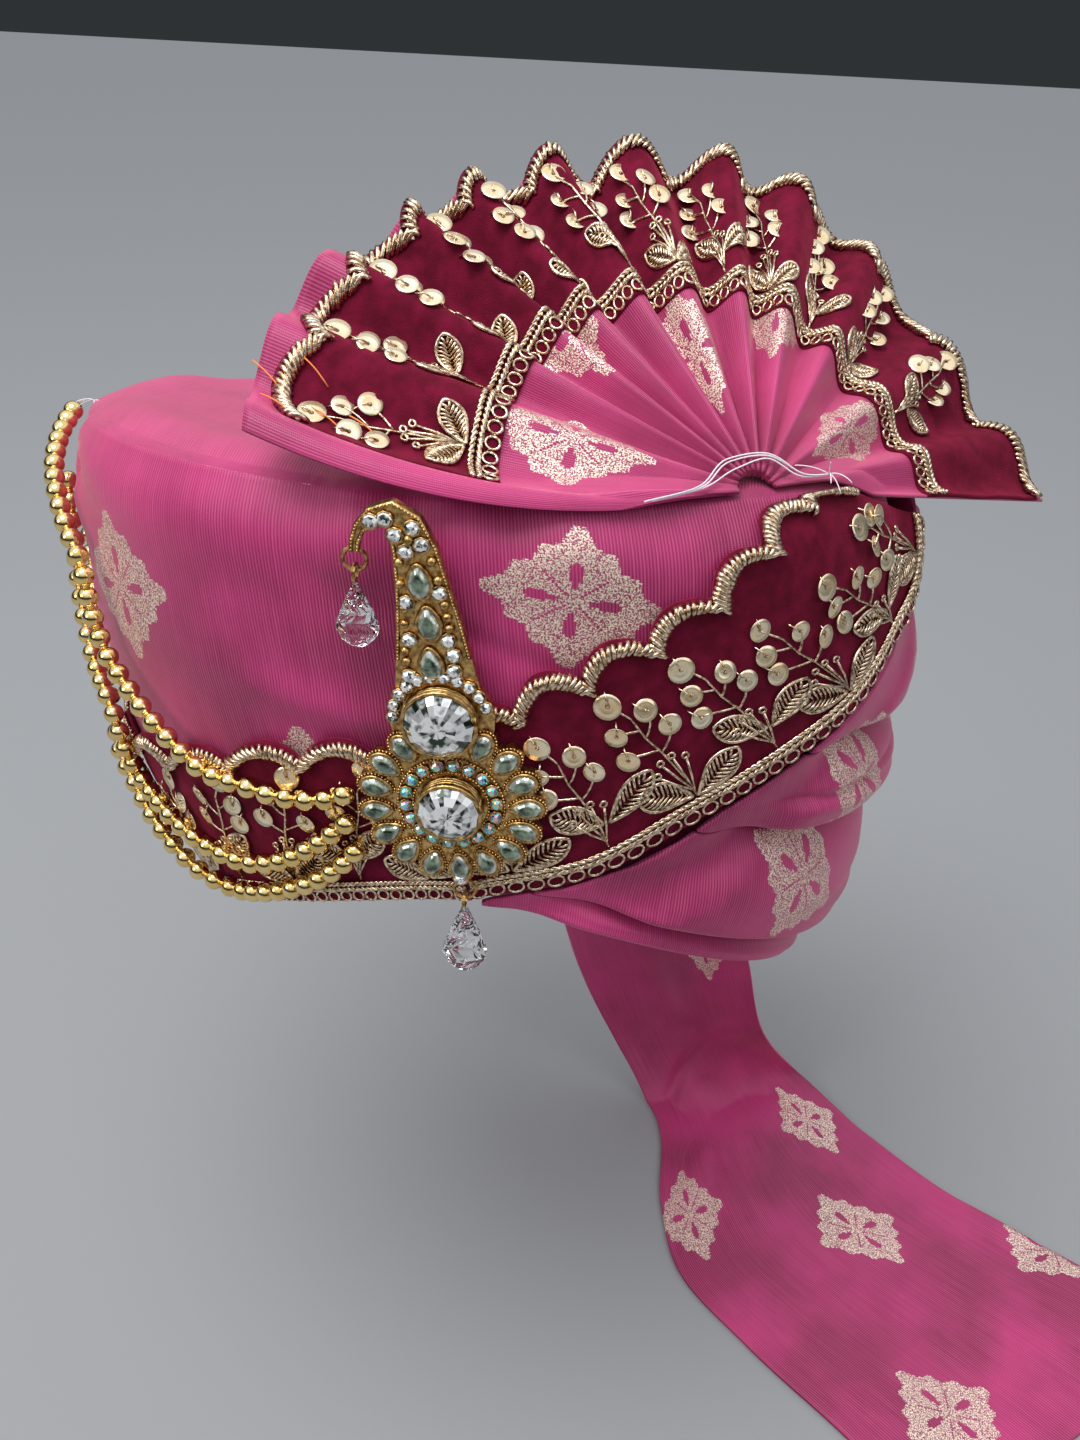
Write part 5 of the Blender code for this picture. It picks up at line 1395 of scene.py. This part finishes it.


# Flat stones round the flower and up the plume, each darker in its middle and painted silver towards its edge as a
# painted reflection
def dressFlats(gold):
    foils, names = [], []
    for number, (middle, turn) in enumerate(zip(petalMiddles, petalTurns + pi)):
        foils.append(flatStone(gold, petalStone, middle, turn))
        edge = middle + dropOutline(*petalStone["grains"], 30, turn)
        gold.append(grainRow(edge, 0.95, 0.46, brooch["plate"] + 0.0003))
        names.append(f"petal_stone_{number + 1:02d}")
    for name, x, y in plumeStones:
        foils.append(flatStone(gold, plumeStone, (x, y), pi / 2))
        names.append(name)
    rims = [np.repeat([share for share, rise in domeCut], 18)] * len(foils)
    piece = stonePiece("foiledStones", foils, foil, rims)
    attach(piece, "turban")
    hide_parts(*names)


# The two large cut stones: outline with every other corner drawn in, a collet wire and three wires under it
def dressChatons(gold):
    big, ring, plate = [], circle(24), brooch["plate"]
    wave = 1.0 - 0.05 * (np.arange(24) % 2)
    for stone in (flowerStone, upperStone):
        middle, lift, inner = stone["middle"], plate + stone["lift"], ring * (stone["radius"] - 0.6)
        big.append(stoneSet(inner * wave[:, None], middle, lift + 0.0003, 0.0036, starCut))
        gold.append(outlineWire(ring * (stone["radius"] - 0.3), middle, lift + 0.0008, 0.0007))
        for lower in (0.0006, 0.0016, 0.0026):
            gold.append(outlineWire(inner, middle, plate + lower, 0.0006))
    piece = stonePiece("chatons", big, chaton)
    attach(piece, "turban")
    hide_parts("flower_stone", "upper_stone")


# Small round stones in their seats: rainbow ones round the flower's stone, clear ones round the upper and up the plume
def dressSmall(gold):
    plate, small = brooch["plate"], circle(8)
    ringSpots = np.array(flower["middle"]) + 12.5 * circle(18)
    arc = np.radians(np.linspace(175.0, 15.0, 11))
    arcSpots = np.array(upperStone["middle"]) + 12.6 * paired(np.cos(arc), np.sin(arc))
    clears, rainbows = [], []
    for spots, radius, target in (
        (ringSpots, 1.7, rainbows), (arcSpots, 1.75, clears), (np.array(sideSpots), 2.0, clears),
        (np.array(crossSpots), 2.0, clears),
    ):
        for spot in spots:
            target.append(stoneSet(small * radius, spot, plate + 0.0006, 0.0013, starCut))
            gold.append(outlineWire(small * (radius + 0.05), spot, plate + 0.0007, 0.00038))
        gold.append(balls(spots, radius * 0.95, plate - 0.0002))
    for name, sets, mat in (("rhinestones", clears, chaton), ("rainbowStones", rainbows, rainbow)):
        piece = stonePiece(name, sets, mat)
        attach(piece, "turban")


# Gold balls up the plume, grains round the flower's stone, and a wire with grains along both of the plume's edges
def dressGold(gold):
    plate, ring = brooch["plate"], circle(36)
    gold.append(balls(np.array(plumeBalls), 1.35, plate + 0.0006))
    for radius, lift in ((14.6, 0.0004), (10.4, 0.0006)):
        gold.append(grainRow(np.array(flower["middle"]) + ring * radius, 1.0, 0.5, plate + lift))
    line = np.array(plumeRows)[:, :2] * 55.0 + np.array([0.0, 36.0])
    half = np.array(plumeRows)[:, 2:] * 55.0 - 0.5
    alongLine = unit(np.gradient(line, axis=0))
    aside = paired(alongLine[:, 1], -alongLine[:, 0])
    for side in (1.0, -1.0):
        edge = (line + side * aside * half)[1:]
        gold.append(grainRow(edge, 0.95, 0.5, plate + 0.0003, False))
        gold.append(tubes(onBrooch(edge, plate + 0.0001)[None], broochOut, 0.0006))
    piece = joined("broochGold", gold, antiqueGold)
    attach(piece, "turban")
    print("scene: brooch gold", len(piece.data.polygons) * 2, "triangles")


gold = []
for dress in (dressFlats, dressChatons, dressSmall, dressGold):
    dress(gold)

# Hanging crystals: link place in brooch millimetres, length and width in metres
dropPlaces = dict(
    lower=dict(place=(1.4, -24.5), length=0.0235, width=0.0134),
    upper=dict(place=(-13.69, 78.10), length=0.0180, width=0.0115),
)
drop = dict(
    linkRadius=0.0031, linkWire=0.0006, loopRadius=0.0023, loopWire=0.0005, clearance=0.00045, gap=0.0003,
    flatness=0.62, sides=12,
)
# Share of a crystal's length and share of its width, ring by ring
crystalRows = [
    (0.0, 0.14), (0.10, 0.28), (0.24, 0.48), (0.40, 0.70), (0.56, 0.90), (0.72, 0.99), (0.86, 0.80), (0.96, 0.46),
    (1.0, 0.20),
]


# Pear of flat facets: rings of 12 sides, each turned half a step from the next, flattened front to back
def makeCrystal(side, values):
    link = onBrooch(np.array([values["place"]]), brooch["plate"] / 2)[0]
    pivot = link[2] - drop["linkRadius"]
    loop = pivot - (drop["loopRadius"] - drop["loopWire"] - drop["linkWire"] - drop["clearance"])
    top = loop - drop["loopRadius"] - drop["loopWire"] - drop["gap"]
    rings = []
    for number, (share, girth) in enumerate(crystalRows):
        angle = (np.arange(drop["sides"]) + 0.5 * (number % 2)) * 2 * pi / drop["sides"]
        x = link[0] + values["width"] / 2 * girth * np.cos(angle)
        y = link[1] + values["width"] / 2 * girth * drop["flatness"] * np.sin(angle)
        rings.append(np.stack([x, y, np.full_like(x, top - values["length"] * share)], axis=-1))
    sides, triangles = drop["sides"], []
    for i in range(len(rings) - 1):
        for j in range(sides):
            a, b = i * sides + j, i * sides + (j + 1) % sides
            c, d = a + sides, b + sides
            pair = [(a, b, c), (b, d, c)] if i % 2 else [(a, b, d), (a, d, c)]
            triangles += pair
    low = (len(rings) - 1) * sides
    triangles += [(0, k + 1, k) for k in range(1, sides - 1)]
    triangles += [(low, low + k, low + k + 1) for k in range(1, sides - 1)]
    piece = reworked(meshPiece(side + "Crystal", np.concatenate(rings), triangles, clear, smooth=False))
    piece.data.shade_flat()
    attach(piece, side + "_drop")
    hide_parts(side + "_drop_crystal")


for side, values in dropPlaces.items():
    makeCrystal(side, values)
for name in ("brooch_setting", "lower_drop_loop", "upper_drop_loop"):
    node = bpy.data.objects[name]
    node.data.materials.clear()
    node.data.materials.append(antiqueGold)
print("scene: brooch made")


# Camera turned by azimuth about Z, then pitched down, then rolled about its own axis
def makeCamera():
    azimuth, pitch, roll = (math.radians(camera[key]) for key in ("azimuth", "pitch", "roll"))
    forward = Vector((-math.sin(azimuth) * math.cos(pitch), math.cos(azimuth) * math.cos(pitch), -math.sin(pitch)))
    right = Vector((math.cos(azimuth), math.sin(azimuth), 0.0))
    up = right.cross(forward)
    turnedRight = right * math.cos(roll) + up * math.sin(roll)
    turnedUp = up * math.cos(roll) - right * math.sin(roll)
    data = bpy.data.cameras.new("view")
    data.sensor_fit = "VERTICAL"
    data.sensor_height = camera["sensor"]
    data.lens = camera["lens"]
    data.clip_start = 0.01
    item = bpy.data.objects.new("view", data)
    axes = Matrix((turnedRight, turnedUp, -forward)).transposed().to_4x4()
    item.matrix_world = Matrix.Translation(Vector(camera["place"])) @ axes
    bpy.context.scene.collection.objects.link(item)
    bpy.context.scene.camera = item


# Round area light at a place, turned to a target
def areaLight(name, place, target, size, power, colour=(1, 1, 1)):
    data = bpy.data.lights.new(name, "AREA")
    data.shape = "DISK"
    data.size = size
    data.energy = power
    data.color = colour
    item = bpy.data.objects.new(name, data)
    item.location = place
    item.rotation_mode = "QUATERNION"
    item.rotation_quaternion = (Vector(target) - Vector(place)).to_track_quat("-Z", "Y")
    bpy.context.scene.collection.objects.link(item)


# Pale floor under the tail, and soft light from above with one side brighter
def makeStudio():
    mat = newFinish("paleFloor", {"Roughness": 0.85}, (0.30, 0.305, 0.31))[0]
    corners = np.array([(-3, -3, 0), (3, -3, 0), (3, 3, 0), (-3, 3, 0)], dtype=float)
    corners[:, 2] = tail["floor"]
    floor = meshPiece("floor", corners, [(0, 1, 2, 3)], mat, smooth=False)
    world = bpy.data.worlds.new("studio")
    world.use_nodes = True
    air = world.node_tree
    way = put(air, "ShaderNodeSeparateXYZ", {0: put(air, "ShaderNodeTexCoord").outputs["Generated"]})
    height = remap(air, way.outputs[2], 0.18, 0.62)
    colour = blendColour(air, height, (0.030, 0.034, 0.038, 1), (1.0, 1.04, 1.10, 1))
    background = air.nodes["Background"]
    air.links.new(colour, background.inputs["Color"])
    background.inputs["Strength"].default_value = 0.95
    bpy.context.scene.world = world
    areaLight("sky", (-0.3, -0.35, 1.4), (0, 0, 0.1), 0.9, 15.0)
    areaLight("window", (-1.1, -0.8, 0.7), (0, -0.05, 0.1), 0.6, 3.4, (1.0, 0.98, 0.95))
    areaLight("fill", (1.2, -0.6, 0.6), (0, 0, 0.05), 0.8, 1.6)


makeCamera()
makeStudio()
bpy.context.scene.view_settings.view_transform = "Standard"
